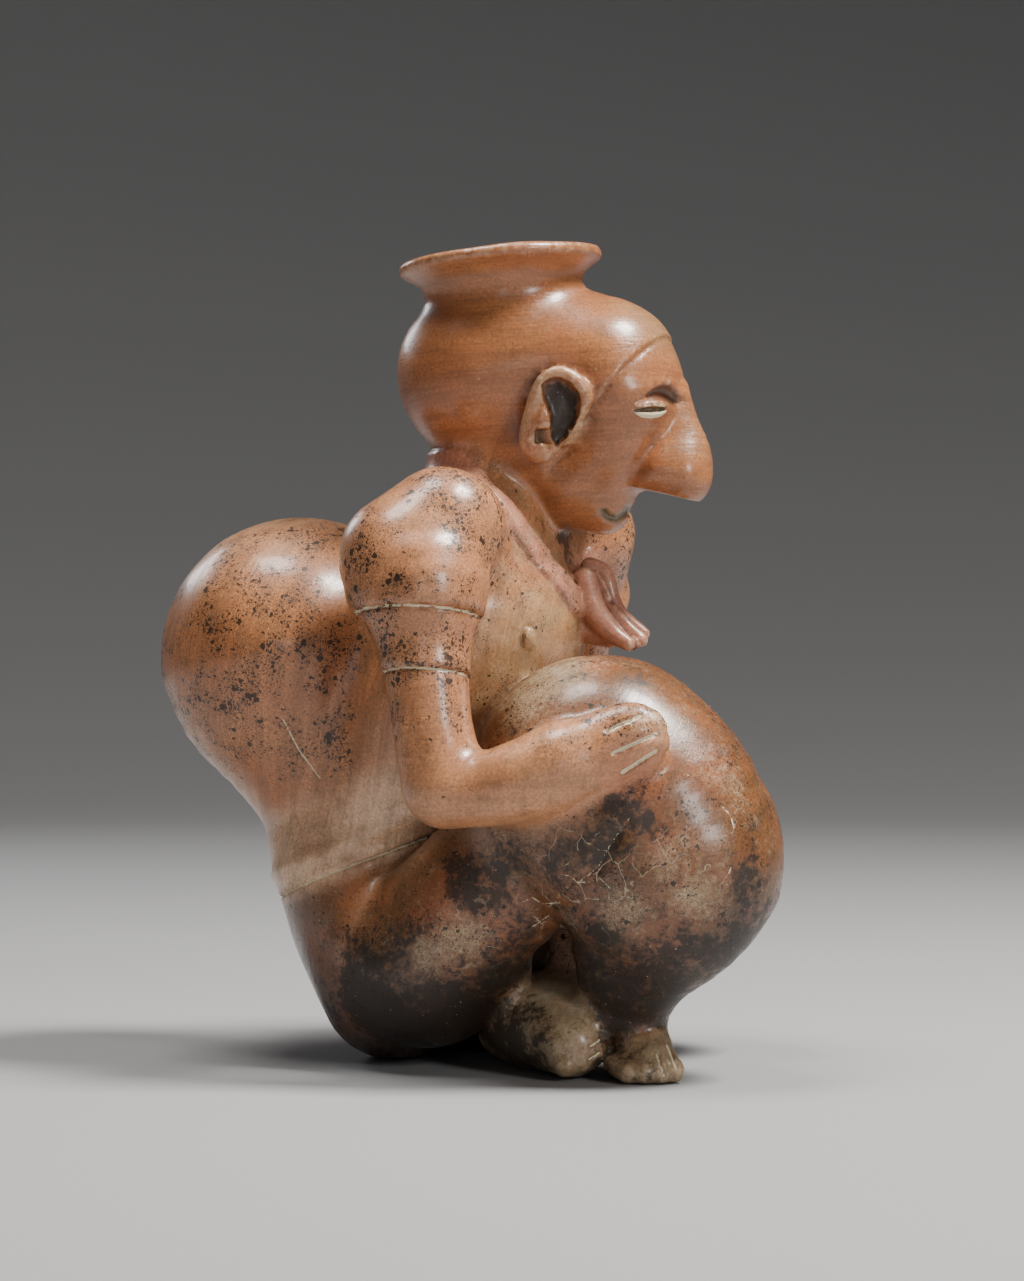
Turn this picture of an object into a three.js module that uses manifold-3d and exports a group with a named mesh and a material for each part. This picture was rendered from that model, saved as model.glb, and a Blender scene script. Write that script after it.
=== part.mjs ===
// Hunchback effigy vessel in burnished clay, seated with knees drawn up and hands on them.
// Millimetres, +Z up. The figure faces +X, its left side is +Y, and it stands on Z = 0.
import * as THREE from 'three';
import Module from 'manifold-3d';
import { LoftGeometry } from 'three/addons/geometries/LoftGeometry.js';
import { mergeVertices } from 'three/addons/utils/BufferGeometryUtils.js';

// Driving dimensions
const wall = 7;                 // thickness of the fired clay
const rimRadius = 43;           // outer edge of the pouring mouth
const throatRadius = 34.5;      // outside of the short neck below the mouth
const rimHeight = 348.5;        // highest point of the mouth
const rimPitch = 5.5;           // degrees that the mouth leans back, its front edge the higher one
const mouthPlace = [12, 2];     // middle of the mouth, X and Y
const farTwist = 26;            // how far the far shoulder stands ahead of the near one
const farLegBack = 15;          // how far the far leg sits behind the near one
const incision = 1.2;           // depth of a cut line
const cutWidth = 1.6;           // width of a cut line
const figureMiddle = [3, 0];    // middle of the figure's own outline, X and Y

const wasm = await Module();
wasm.setup();

// A closed three.js geometry as a solid that can be joined and cut
function solid(geometry) {
  const plain = new THREE.BufferGeometry();
  plain.setAttribute('position', geometry.attributes.position);
  plain.setIndex(geometry.index);
  const merged = mergeVertices(plain, 1e-3);
  return new wasm.Manifold(new wasm.Mesh({
    numProp: 3,
    vertProperties: Float32Array.from(merged.attributes.position.array),
    triVerts: Uint32Array.from(merged.index.array),
  }));
}

function join(pieces) {
  return pieces.reduce((whole, piece) => whole.add(piece));
}

// Smooth path through stations [x, y, z, radius], with a line cut round it at each of `cutsAt`
function pathThrough(stations, cutsAt) {
  const centres = new THREE.CatmullRomCurve3(
    stations.map(([x, y, z]) => new THREE.Vector3(x, y, z)), false, 'catmullrom', 0.5);
  const radii = new THREE.CatmullRomCurve3(
    stations.map(([, , , r], i) => new THREE.Vector3(i, r, 0)), false, 'catmullrom', 0.5);
  const at = (share, sunk = 0) => ({
    share,
    centre: centres.getPoint(share),
    tangent: centres.getTangent(share),
    radius: radii.getPoint(share).y - sunk,
  });
  const halfCut = cutWidth / 2 / centres.getLength();
  const cutRings = (share) => [
    at(share - halfCut), at(share - halfCut, incision), at(share + halfCut, incision), at(share + halfCut),
  ];
  const whole = stations.map((_, i) => at(i / (stations.length - 1)));
  return [...whole, ...cutsAt.flatMap(cutRings)].sort((a, b) => a.share - b.share);
}

// A full-bodied form: round rings along a path, closed by round ends, `wide` times as wide in Y
function form(stations, { wide = 1, sides = 12, cutsAt = [], inset = 0, endRings = 2 } = {}) {
  const path = pathThrough(stations, cutsAt);
  const across = new THREE.Vector3(0, 1, 0);
  if (Math.abs(path[0].tangent.y) > 0.8) across.set(0, 0, 1);
  const rings = [];
  const addRing = ({ centre, tangent, radius }, along, scale) => {
    across.addScaledVector(tangent, -across.dot(tangent)).normalize();
    const up = new THREE.Vector3().crossVectors(tangent, across);
    const size = radius - inset;
    rings.push(Array.from({ length: sides }, (_, i) => {
      const turn = (i / sides) * 2 * Math.PI;
      const arm = across.clone().multiplyScalar(Math.cos(turn) * scale * size)
        .addScaledVector(up, Math.sin(turn) * scale * size)
        .addScaledVector(tangent, along * size);
      arm.y *= wide;
      return arm.add(centre);
    }));
  };
  const lastAngle = THREE.MathUtils.degToRad(78);
  for (let i = endRings; i >= 1; i--) {
    const angle = (i / endRings) * lastAngle;
    addRing(path[0], -Math.sin(angle), Math.cos(angle));
  }
  path.forEach((station) => addRing(station, 0, 1));
  for (let i = 1; i <= endRings; i++) {
    const angle = (i / endRings) * lastAngle;
    addRing(path.at(-1), Math.sin(angle), Math.cos(angle));
  }
  return solid(new LoftGeometry(rings, { closed: true, capStart: true, capEnd: true }));
}

// A line cut round a form, `incision` deep: a thin disc, less the same form made that much smaller
function lineRound(smallerForm, centre, across, radius) {
  const disc = new THREE.CylinderGeometry(radius, radius, cutWidth, 12);
  disc.applyQuaternion(new THREE.Quaternion().setFromUnitVectors(new THREE.Vector3(0, 1, 0), across));
  disc.translate(centre.x, centre.y, centre.z);
  return solid(disc).subtract(smallerForm);
}

function meshOf(shape, name, material) {
  const { vertProperties, triVerts } = shape.getMesh();
  const geometry = new THREE.BufferGeometry();
  geometry.setAttribute('position', new THREE.BufferAttribute(vertProperties, 3));
  geometry.setIndex(new THREE.BufferAttribute(triVerts, 1));
  geometry.computeVertexNormals();
  const mesh = new THREE.Mesh(geometry, material);
  mesh.name = name;
  return mesh;
}

// Finds the skin of a finished form along a line, so that small relief lies on it
function skinFinder(shape) {
  const mesh = meshOf(shape, 'skin', new THREE.MeshBasicMaterial({ side: THREE.DoubleSide }));
  const caster = new THREE.Raycaster();
  return (from, towards) => {
    const start = new THREE.Vector3(...from);
    const way = new THREE.Vector3(...towards).sub(start).normalize();
    caster.set(start, way);
    return caster.intersectObject(mesh)[0].point;
  };
}

// Masses of the trunk, as stations [x, y, z, radius]
const hump = [[-77, 0, 173.5, 60], [-73, 0, 157.5, 56.5], [-64.5, 0, 136, 47], [-55.5, 0, 108.5, 35.5]];
const humpWide = 1.16;
const torso = [[0, 4, 222, 30], [2, 3, 204, 43], [1, 2, 184, 46],
  [-12.5, 0, 154.5, 43], [-33, 0, 117.5, 36.3], [-52, 0, 85, 32.5]];
const torsoWide = 1.42;
const neck = [[2, 4, 225, 25], [6, 6, 242, 26.7], [9, 8, 260, 28.5]];
const neckRoomTop = [11, 8, 280, 31];   // carries the neck's hollow up into the head's
const pelvis = [[-53, 0, 84, 32.5], [-42.5, 0, 57, 33.8], [-33, 2, 31, 32]];
const pelvisWide = 1.6;
const shoulderGirdle = [[4, -58, 222, 21], [10, 4, 224, 25], [24, 60, 222, 21]];
const belt = { centre: [-56, 0, 79], lean: 22, radius: 75 };

// Masses of the head
const headMiddle = 8.5;
const cranium = [[5.5, 6, 294.5, 39], [27.5, 8, 298, 37], [53.7, 9, 295, 33.4]];
const craniumWide = 1.14;
const face = [[64.7, 8.5, 284.5, 26.5], [59.5, 8.5, 265.5, 23.5], [51, 8.5, 245.5, 17.8]];
const faceWide = 1.3;
const jaw = [[24, 7, 266, 22.3], [41.5, 8, 249, 18]];
const jawWide = 1.45;
const chin = [[48, 8.5, 243.5, 15.4], [56, 8.5, 236.5, 10.5]];
const nose = [[89.5, 8.5, 287, 4], [90.6, 8.5, 274, 6.4], [90.3, 8.5, 262.5, 11.4], [88, 8.5, 251, 11.9]];
const noseWide = 0.85;
const nostrils = [[80, 8.5, 265.5, 7.7], [76, 8.5, 254, 8.5]];
const earRim = [[48.4, -20, 264.8, 3], [56.5, -27, 275.3, 3.2], [57.5, -31, 286, 3.3], [47.2, -34, 293.6, 3.3],
  [37.8, -36, 289.4, 3.3], [33.2, -33.5, 274.3, 3.6], [30.6, -32, 262.3, 3.8], [37.5, -28.5, 256, 4.2],
  [41.3, -24, 260.4, 3]];
const earPlate = [[46, -26, 285, 8], [43, -25, 273, 8.5], [38.5, -24, 263, 7]];

// Masses of the near arm and leg, on the figure's right
const shoulder = [[5, -64, 226.5, 25.1], [-8.5, -72, 213, 25.6]];
const upperArm = [[-3, -74, 208, 26], [0, -79, 199, 28], [2.8, -83, 180, 20.3],
  [5, -86, 163, 17], [8.4, -89, 143, 16.2], [13.6, -91, 121.7, 17.3]];
const forearm = [[15, -91, 121.5, 15.8], [30, -92, 120, 15.3], [45.6, -92, 123.7, 16], [62, -90, 129, 16]];
const palm = [[60, -90, 128.5, 15.5], [76, -89, 136, 14.5], [87, -87, 141, 11.5]];
const palmWide = 0.75;
const fingers = [
  [[82, -87.5, 148.5, 4.6], [100, -82.5, 150.8, 4.2]], [[82, -90, 142.3, 4.8], [102.5, -84.5, 145, 4.3]],
  [[80, -90.5, 136, 4.8], [102, -86, 139, 4.3]], [[77, -90, 130, 4.6], [98.5, -86, 133, 4.2]],
];
const armbands = [0.34, 0.575];   // shares of the way from shoulder to elbow

const thigh = [[-9.5, -36, 45, 36.3], [12.5, -41, 67.5, 35.2], [38, -44, 91.5, 36], [65, -45, 118, 51]];
const shin = [[66, -45, 119.6, 54], [91.5, -45, 90.7, 51]];
const calf = [[90, -45, 84, 46], [86, -45, 60, 32], [82, -45, 44.5, 24], [79, -42, 30, 16.8]];
const crossedCalf = [[75, 45, 84, 46], [69, 44, 60, 33], [58, 36, 44, 26], [45, 14, 30, 19], [37, -6, 23, 15]];
const farHipDrop = 11.5;        // the far hip carries weight on the floor, the near one doesn't
const legWide = 0.86;
const nearFoot = [[72, -22, 13.6, 12.6], [84, -42, 11.7, 12.5], [92, -54, 8.3, 9.2]];
const crossedFoot = [[16, -4, 15, 13], [41.5, -30, 16.5, 17], [60, -54, 12, 12]];
const crossedInstep = [[38, 0, 34, 12], [40, -26, 24, 13]];
const toes = [[99.5, -57, 5.2, 5.6], [95.5, -61.5, 4.9, 5.3], [90, -64, 4.6, 5], [84, -65, 4.4, 4.7],
  [66, -58, 12, 5.2], [63, -62, 8, 5], [57, -65.5, 6.5, 4.8]];

// Collar and the clawed pendant that hangs from it
const collarThickness = 5.6;
const collarProud = 3;
const pendantRidges = [
  [[50, 0.5, 206.5, 5.5], [58, -1, 195, 6.3], [66, -2.5, 184, 5.9], [71.5, -3, 179, 4]],
  [[51, 15.5, 212, 4.6], [57, 16, 204, 4.8], [63.5, 15, 195, 5.2], [73, 12, 183.5, 4]],
];
const pendantWeb = [[43, 7, 203, 10], [50, 7.5, 199, 9], [60, 6.5, 190, 6.5], [69, 5, 182.5, 4.2]];
const pendantClaws = [[[66, 1.5, 184, 4], [74, 2, 179.5, 3.4]], [[66, 7, 186, 4], [75.8, 7, 181.5, 3.2]]];

// The far side mirrors the near one, moved along X from station to station
function mirrored(stations, startShift = 0, endShift = startShift) {
  return stations.map(([x, y, z, r], i) => {
    const share = stations.length > 1 ? i / (stations.length - 1) : 0;
    return [x + startShift + (endShift - startShift) * share, -y, z, r];
  });
}

function trunk() {
  const lowerTrunk = (inset) => join([
    form(torso, { wide: torsoWide, inset }),
    form(pelvis, { wide: pelvisWide, sides: 10, inset }),
  ]);
  const lean = THREE.MathUtils.degToRad(belt.lean);
  const across = new THREE.Vector3(Math.sin(lean), 0, Math.cos(lean));
  const beltLine = lineRound(lowerTrunk(incision), new THREE.Vector3(...belt.centre), across, belt.radius);
  return join([
    form(hump, { wide: humpWide, sides: 16, endRings: 3 }),
    lowerTrunk(0),
    form(neck, { wide: 1.1, sides: 8 }),
    form(shoulderGirdle, { sides: 10, endRings: 1 }),
  ]).subtract(beltLine);
}

// Collar: a cord-like band round the foot of the neck, low in front and high at the nape
function collar(trunkSkin) {
  const half = (side) => {
    const first = -8;
    const last = 188;
    const count = 7;
    const path = Array.from({ length: count }, (_, i) => {
      const turn = first + (last - first) * (i / (count - 1));
      const angle = THREE.MathUtils.degToRad(turn);
      const rise = Math.min(Math.abs(turn) * 1.7, 180);
      const z = 194 + 61 * (0.5 - 0.5 * Math.cos(THREE.MathUtils.degToRad(rise)));
      const out = [Math.cos(angle), side * Math.sin(angle)];
      const skin = trunkSkin([4 + 200 * out[0], 5 + 200 * out[1], z], [4, 5, z]);
      const sunk = collarThickness - collarProud;
      return [skin.x - sunk * out[0], skin.y - sunk * out[1], z, collarThickness];
    });
    return form(path, { sides: 5, endRings: 1 });
  };
  return half(-1).add(half(1));
}

function pendant() {
  return join([
    ...pendantRidges.map((ridge) => form(ridge, { sides: 6, endRings: 1 })),
    form(pendantWeb, { sides: 5, endRings: 1 }),
    ...pendantClaws.map((claw) => form(claw, { sides: 5, endRings: 1 })),
  ]);
}

function nipples(trunkSkin) {
  return join([-1, 1].map((side) => {
    const skin = trunkSkin([33.6, side * 200, 179.4], [33.6, 0, 179.4]);
    return form([[skin.x - 1, skin.y, skin.z, 2.8], [skin.x + 1, skin.y + side * 0.5, skin.z, 2.6]],
      { sides: 6, endRings: 1 });
  }));
}

function arm(far) {
  const place = (stations, start, end) => (far ? mirrored(stations, start, end) : stations);
  return join([
    form(place(shoulder, farTwist), { sides: 10 }),
    form(place(upperArm, farTwist, farTwist * 0.2), { sides: 10, cutsAt: armbands }),
    form(place(forearm, farTwist * 0.2, -farLegBack), { sides: 8, endRings: 1 }),
    form(place(palm, -farLegBack), { wide: palmWide, sides: 8, endRings: 1 }),
    ...fingers.map((finger) => form(place(finger, -farLegBack), { sides: 5, endRings: 1 })),
  ]);
}

function farThigh() {
  return mirrored(thigh, 0, -farLegBack).map(([x, y, z, r], i) => [x, y, i === 0 ? z - farHipDrop : z, r]);
}

function leg(far) {
  return join([
    form(far ? farThigh() : thigh, { wide: legWide, sides: 14 }),
    form(far ? mirrored(shin, -farLegBack) : shin, { wide: legWide, sides: 16, endRings: 3 }),
    form(far ? crossedCalf : calf, { wide: legWide, sides: 10, endRings: 1 }),
  ]);
}

function feet() {
  const toeRoot = [-8, 9, 2.5];
  return join([
    form(nearFoot, { sides: 8 }), form(crossedFoot, { sides: 8 }),
    form(crossedInstep, { sides: 8, endRings: 1 }),
    ...toes.map(([x, y, z, r]) => form(
      [[x + toeRoot[0], y + toeRoot[1], z + toeRoot[2], r], [x, y, z, r]], { sides: 5, endRings: 1 })),
  ]);
}

function ear(side) {
  const place = (stations) => stations.map(([x, y, z, r]) => (
    side < 0 ? [x, y, z, r] : [x, 2 * headMiddle - y, z, r]));
  return form(place(earRim), { sides: 5, endRings: 1 })
    .add(form(place(earPlate), { sides: 5, endRings: 1 }));
}

// A cut line laid on the skin of both sides of the head, given as [x, z] seen from the side
function headLine(headSkin, line, radius) {
  return join([-1, 1].map((side) => form(line.map(([x, z]) => {
    const skin = headSkin([x, headMiddle + side * 200, z], [x, headMiddle, z]);
    return [skin.x, skin.y, skin.z, radius];
  }), { sides: 4, endRings: 1 })));
}

function skull(inset) {
  return join([
    form(cranium, { wide: craniumWide, sides: 16, endRings: 3, inset }),
    form(face, { wide: faceWide, sides: 12, inset }),
    form(jaw, { wide: jawWide, sides: 8, inset }),
    form(chin, { wide: 1.25, sides: 10, inset }),
  ]);
}

// Edge of the smooth cap, a line from the top of the forehead down behind the jaw on both sides
function capEdge() {
  const front = new THREE.Vector3(83, headMiddle, 306.5);
  const back = new THREE.Vector3(41, headMiddle, 256);
  const along = back.clone().sub(front).normalize();
  const across = new THREE.Vector3(along.z, 0, -along.x);
  return lineRound(skull(incision), front.clone().add(back).divideScalar(2), across, 50);
}

function head() {
  const bare = skull(0).subtract(capEdge());
  const skin = skinFinder(bare);
  const eyeLids = [[76, 276.2], [81, 276.4], [85.5, 277]];
  const eyeSlit = [[75, 276.4], [81, 276.6], [86.5, 277.2]];
  const mouthSlit = [[58.5, 234], [62, 232.6], [65.5, 235.5]];
  const withFeatures = join([
    bare,
    headLine(skin, eyeLids, 3),
    form(nose, { wide: noseWide, sides: 8 }),
    form(nostrils, { wide: 1.1, sides: 6, endRings: 1 }),
    ear(-1), ear(1),
  ]);
  const cuts = [headLine(skin, mouthSlit, incision), headLine(skinFinder(withFeatures), eyeSlit, 0.9)];
  return withFeatures.subtract(join(cuts));
}

// Pouring mouth: a short waisted neck with a flared, rounded lip, turned on its own axis
const mouthFoot = -38;
const mouthProfile = [
  [throatRadius, mouthFoot], [throatRadius, -20], [throatRadius + 1.5, -13],
  [rimRadius - 4, -7.5], [rimRadius - 0.6, -4.4], [rimRadius, -2.2], [rimRadius - 1.6, 0],
];

function placeMouth(profile, sides) {
  const points = profile.map(([radius, z]) => new THREE.Vector2(radius, z));
  const geometry = new THREE.LatheGeometry(points, sides);
  geometry.rotateX(Math.PI / 2);
  geometry.rotateY(THREE.MathUtils.degToRad(-rimPitch));
  const lift = Math.sin(THREE.MathUtils.degToRad(rimPitch)) * rimRadius;
  geometry.translate(mouthPlace[0], mouthPlace[1], rimHeight - lift);
  return solid(geometry);
}

function mouth() {
  return placeMouth([[0, mouthFoot], ...mouthProfile, [0, 0]], 24);
}

function mouthBore() {
  const lipWall = wall - 1;
  const inside = mouthProfile.slice(1, 5).map(([radius, z]) => [radius - lipWall, z]);
  const below = mouthFoot - 12;
  const above = 8;
  return placeMouth([[0, below], [throatRadius - 12, below], ...inside,
    [rimRadius - 3.4, 0.2], [rimRadius, above], [0, above]], 14);
}

// Hollow of the vessel, a wall's thickness inside the masses and open through the mouth
function hollow() {
  const room = { sides: 7, inset: wall, endRings: 1 };
  const innerWide = (wide, radius) => (wide * radius - wall) / (radius - wall);
  const legRoom = (stations) => form(stations, { ...room, wide: legWide });
  return join([
    form(hump, { ...room, sides: 9, endRings: 2, wide: innerWide(humpWide, 50) }),
    form([...torso, ...pelvis.slice(1)], { ...room, sides: 8, wide: innerWide(torsoWide, 36) }),
    form([...neck, neckRoomTop], room),
    form(cranium, { ...room, sides: 9, endRings: 2, wide: innerWide(craniumWide, 37) }),
    legRoom(thigh), legRoom(shin),
    legRoom(farThigh()), legRoom(mirrored(shin, -farLegBack)),
    mouthBore(),
  ]);
}

function floorCut() {
  const slab = new THREE.BoxGeometry(600, 600, 100);
  slab.translate(0, 0, -50);
  return solid(slab);
}

function vessel() {
  const body = trunk();
  const skin = skinFinder(body);
  return join([
    body, collar(skin), pendant(), nipples(skin), head(), mouth(),
    arm(false), arm(true), leg(false), leg(true), feet(),
  ]).subtract(hollow()).subtract(floorCut());
}

const clay = new THREE.MeshStandardMaterial({ color: 0x9a5a3c, roughness: 0.38, metalness: 0 });
const figure = new THREE.Group();
const hunchback = meshOf(vessel(), 'hunchback_vessel', clay);
hunchback.position.set(-figureMiddle[0], -figureMiddle[1], 0);
figure.add(hunchback);

export default figure;
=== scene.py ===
import math

import bpy
import numpy as np
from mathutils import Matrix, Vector


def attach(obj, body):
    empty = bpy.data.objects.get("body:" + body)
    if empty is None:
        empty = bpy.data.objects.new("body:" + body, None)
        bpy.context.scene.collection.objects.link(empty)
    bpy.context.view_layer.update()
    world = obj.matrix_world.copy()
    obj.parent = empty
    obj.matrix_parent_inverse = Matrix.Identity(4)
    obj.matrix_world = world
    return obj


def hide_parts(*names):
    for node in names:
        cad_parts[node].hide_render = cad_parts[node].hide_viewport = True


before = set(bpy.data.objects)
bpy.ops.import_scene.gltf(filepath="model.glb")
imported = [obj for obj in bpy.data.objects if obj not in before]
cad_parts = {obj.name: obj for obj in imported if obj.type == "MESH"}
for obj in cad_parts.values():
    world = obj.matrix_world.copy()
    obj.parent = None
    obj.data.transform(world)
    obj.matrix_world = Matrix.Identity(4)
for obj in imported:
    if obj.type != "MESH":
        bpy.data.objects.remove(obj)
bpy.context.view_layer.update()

# Sizes are in millimetres in the figure's own frame until they reach a mesh
MM = 0.001
FIGURE_MIDDLE = np.array([3.0, 0.0, 0.0])
HEAD_MIDDLE = 8.5
# The left side against the right: shoulder further forward, knee further back, hip lower
FAR_TWIST, FAR_LEG_BACK, FAR_HIP_DROP = 26.0, 18.0, 11.5
# Stands for any distance too far to matter
FAR_AWAY = 1000.0

# Masses of the figure, as stations x, y, z, radius
HUMP = [(-77, 0, 173.5, 60), (-73, 0, 157.5, 56.5), (-64.5, 0, 136, 47), (-55.5, 0, 108.5, 35.5)]
TORSO = [(0, 4, 222, 30), (2, 3, 204, 43), (1, 2, 184, 46),
         (-12.5, 0, 154.5, 43), (-33, 0, 117.5, 36.3), (-52, 0, 85, 32.5)]
NECK = [(2, 4, 225, 25), (6, 6, 242, 26.7), (9, 8, 260, 28.5)]
PELVIS = [(-53, 0, 84, 32.5), (-42.5, 0, 57, 33.8), (-33, 2, 31, 32)]
GIRDLE = [(4, -58, 222, 21), (10, 4, 224, 25), (24, 60, 222, 21)]
CRANIUM = [(5.5, 6, 294.5, 39), (27.5, 8, 298, 37), (53.7, 9, 294.8, 32.6)]
FACE = [(64.0, 8.5, 284, 26.2), (59.5, 8.5, 265.5, 23.5), (48.8, 8.5, 245.5, 17.6)]
JAW = [(24, 7, 266, 22.3), (41.5, 8, 249, 18)]
CHIN = [(48, 8.5, 243.5, 15.4), (56, 8.5, 236.5, 10.5)]
NOSE = [(88.5, 8.5, 287, 4), (89.4, 8.5, 274, 6.6), (90, 8.5, 262.5, 11.6), (88.2, 8.5, 249.5, 13)]
NOSTRILS = [(82, 8.5, 270, 7.4), (78, 8.5, 257, 10.5)]
NOSE_WINGS = [(71, -1.4, 249.5, 5.6), (80, -0.4, 252, 8.4), (90, 3.2, 251, 9.2)]
EAR_RIM = [(47.5, -21, 264.5, 2.6), (54.3, -27, 274.6, 2.8), (56, -30.5, 284.5, 2.8), (48, -34, 291.7, 2.9),
           (40.2, -35.5, 288.3, 2.9), (34.8, -33.5, 275, 3.2), (32.6, -32, 263.3, 3.5),
           (37, -29, 259, 3.8), (41.5, -25, 261, 2.8)]
EAR_PLATE = [(46, -26, 283.5, 7.5), (43, -26, 273, 8), (39, -25, 264, 6)]
EAR_STRIP = [(42.5, -32, 283, 2.6), (38.8, -31.5, 273, 4.6), (36.5, -29.5, 264, 5)]
SHOULDER = [(5, -64, 226.5, 25.1), (-9.5, -72, 213.5, 26.8)]
UPPER_ARM = [(-3, -74, 208, 26), (0, -79, 199, 28), (2.8, -83, 180, 20.3),
             (5, -86, 163, 17), (8.4, -89, 143, 16.2), (13.6, -91, 121.7, 17.3)]
FOREARM = [(15, -91, 121.5, 15.8), (30, -92, 120, 15.3), (45.6, -92, 124, 16.5), (62, -90, 130, 17.2)]
PALM = [(60, -90, 128.5, 15.5), (76, -89, 136, 14.5), (87, -87, 141, 11.5)]
FINGERS = [
    [(78, -87.5, 147, 4.8), (90, -86, 150.6, 4.6), (97, -83.5, 149, 4)],
    [(80, -90.5, 139.5, 5), (92, -87.5, 144.2, 5), (99.5, -84.5, 145.6, 4.3)],
    [(80, -91, 132.5, 5), (92, -88.5, 136.8, 4.9), (101, -85, 139.4, 4.2)],
    [(78, -89.5, 126.5, 5), (90, -87.5, 130.2, 4.6), (98.5, -85, 133.4, 3.8)],
]
THIGH = [(-9.5, -36, 45, 36.3), (12.5, -41, 67.5, 35.2), (38, -44, 91.5, 36), (64, -45, 117, 46.5)]
SHIN = [(66, -45, 119.6, 53.8), (82.5, -45, 103, 54.6), (91.5, -45, 90.7, 51.4)]
CALF = [(90, -45, 84, 46), (85.5, -45, 60, 33), (80.5, -45, 44.5, 25.2), (76.8, -42, 30, 19.3)]
CROSSED_CALF = [(75, 45, 84, 46), (69, 44, 60, 33), (58, 36, 44, 26), (45, 14, 30, 19), (37, -6, 23, 15)]
NEAR_FOOT = [(72, -22, 13.6, 12.6), (84, -42, 11.7, 12.5), (92, -54, 8.3, 9.2)]
CROSSED_FOOT = [(18, -8, 15, 13.5), (31, -25, 18.5, 18.2), (43, -38, 18.5, 18.2), (57, -53.5, 14.5, 14)]
CROSSED_INSTEP = [(31, -8, 25, 14), (41, -22, 25, 13.5), (51, -33, 23.5, 12.5), (59, -44, 16.5, 11)]
TOES = [(99.5, -57, 5.2, 5.6), (95.5, -61.5, 4.9, 5.3), (90, -64, 4.6, 5), (84, -65, 4.4, 4.7),
        (66, -57.5, 12, 4.8), (62.5, -61.5, 8, 4.8), (57, -64.5, 6.5, 4.6)]
TOE_ROOT = (-8, 9, 2.5)
INNER_CALF = [(58, 30, 52, 20), (47, 8, 52, 15)]
PENDANT_RIDGES = [
    [(49.5, 0, 206.5, 5.4), (51, -0.5, 200.5, 5.5), (53, -1, 194, 5.6), (57.5, -1.5, 187.7, 5),
     (62.5, -2, 182.5, 4.2), (69, -3, 178.6, 3.2)],
    [(48, 15, 211.5, 4.4), (53, 15.5, 209.5, 4.2), (55.8, 15, 204.5, 4.1), (57.5, 15, 198.4, 4),
     (60.6, 14.5, 192.2, 3.9), (66, 13.5, 187.3, 3.5), (72.3, 12.5, 183, 2.7)],
    [(60, 7, 193, 2.6), (66.6, 5.5, 185.4, 3.2), (73, 5, 180.2, 2.9)],
    [(52.5, 8, 209, 1.6), (56.5, 8, 202.5, 1.5), (58.5, 8, 198, 1.2)],
]
PENDANT_WEB = [(44, 7, 203, 9), (51, 7.5, 196, 6.5), (59, 6.5, 188, 4.6), (67, 5, 182, 3)]
PENDANT_UNDERSIDE = [(40, 5, 190, 8), (50, 4, 185, 6.4), (60, 2, 181.2, 4.2)]

# Balls of clay, as x, y, z, radius, for the nose, the far calf, the far shoulder and the crossed foot
ADDED_CLAY = [
    (75, 2, 252, 5), (75, 15, 252, 5), (80, 2.5, 252, 7), (80, 14.5, 252, 7), (84, 4, 252, 8),
    (84, 13, 252, 8), (82, 8.5, 262, 8), (78, 5, 258, 6), (78, 12, 258, 6),
    (56, 24, 52, 16), (47, 8, 52, 13.5),
    (20, 74, 205, 23), (16, 78, 196, 22),
    (48, -30, 25, 11),
]

# How much wider than long each mass is
HUMP_WIDE, TORSO_WIDE, PELVIS_WIDE, NECK_WIDE = 1.16, 1.42, 1.6, 1.1
CRANIUM_WIDE, FACE_WIDE, JAW_WIDE, CHIN_WIDE, NOSE_WIDE = 1.14, 1.3, 1.45, 1.25, 0.85
LEG_WIDE, PALM_WIDE = 0.86, 0.75

# The pouring mouth, as radius and height about its own leaning axis
MOUTH_MIDDLE = (11.3, 2.0, 344.38)
MOUTH_PITCH = math.radians(5.5)
MOUTH_OUTSIDE = [(0, -40), (33, -40), (32.4, -30), (32.2, -22), (33, -15.5), (35.6, -10), (39.6, -6.4),
                 (43.2, -4.4), (44, -2.3), (43, -0.3), (40.4, 0.4), (37, -0.8), (30, -0.8), (0, -0.8)]
MOUTH_BORE = [(0, -48), (22, -48), (27.5, -36), (28.4, -24), (29.4, -16), (32, -9.5), (35.2, -4),
              (38.2, -0.6), (40, 3), (40, 9), (0, 9)]

# Lines cut or pressed into the clay, as the places they pass through
ARMBANDS = (0.3, 0.575)
ARMBAND_TILT = 0.19
CAP_EDGE, CAP_UP = (84.4, 310.5), (-0.785, 0.619)
BROW_HOLLOW = [(82.2, -16.6, 282.4, 1.2), (85, -12, 284, 2.5), (87.7, -6.6, 284, 3.2),
               (89.7, -1.2, 281.8, 2.4)]
EYE_ENDS = [(74.9, -20.6, 276.2), (86.9, -7.0, 277.4)]
BROW = [(78.5, -19.5, 282), (83.5, -13.5, 286), (87.2, -7, 286), (90, -1.5, 282.5)]
MOUTH_SLIT = [(58.4, -4.1, 234.6), (60, -1.5, 232.6), (62.7, 1.8, 231.7), (65.2, 5.9, 234),
              (66.5, 8.5, 236.5)]
NOSE_WING = [(80.6, -7.9, 264.5), (74.8, -5.1, 252.9), (70.5, -5.3, 247.9)]
NOSE_UNDERSIDE, NOSE_DOWN = (68, 245.6), (-0.226, -0.974)
EAR_OPENING = [(28.9, 286.6), (32.5, 289), (36.8, 289.4), (40.8, 287.4), (43.8, 284), (45.2, 280.4),
               (44.9, 275.6), (43.2, 270.4), (39.3, 264.9), (35.1, 261.2), (33, 265.3), (32.2, 274.1),
               (30, 280.4)]
EAR_NOTCH = [(26.3, 268.3), (33.4, 268.6), (33.6, 262.4), (26, 262.2)]
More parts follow.
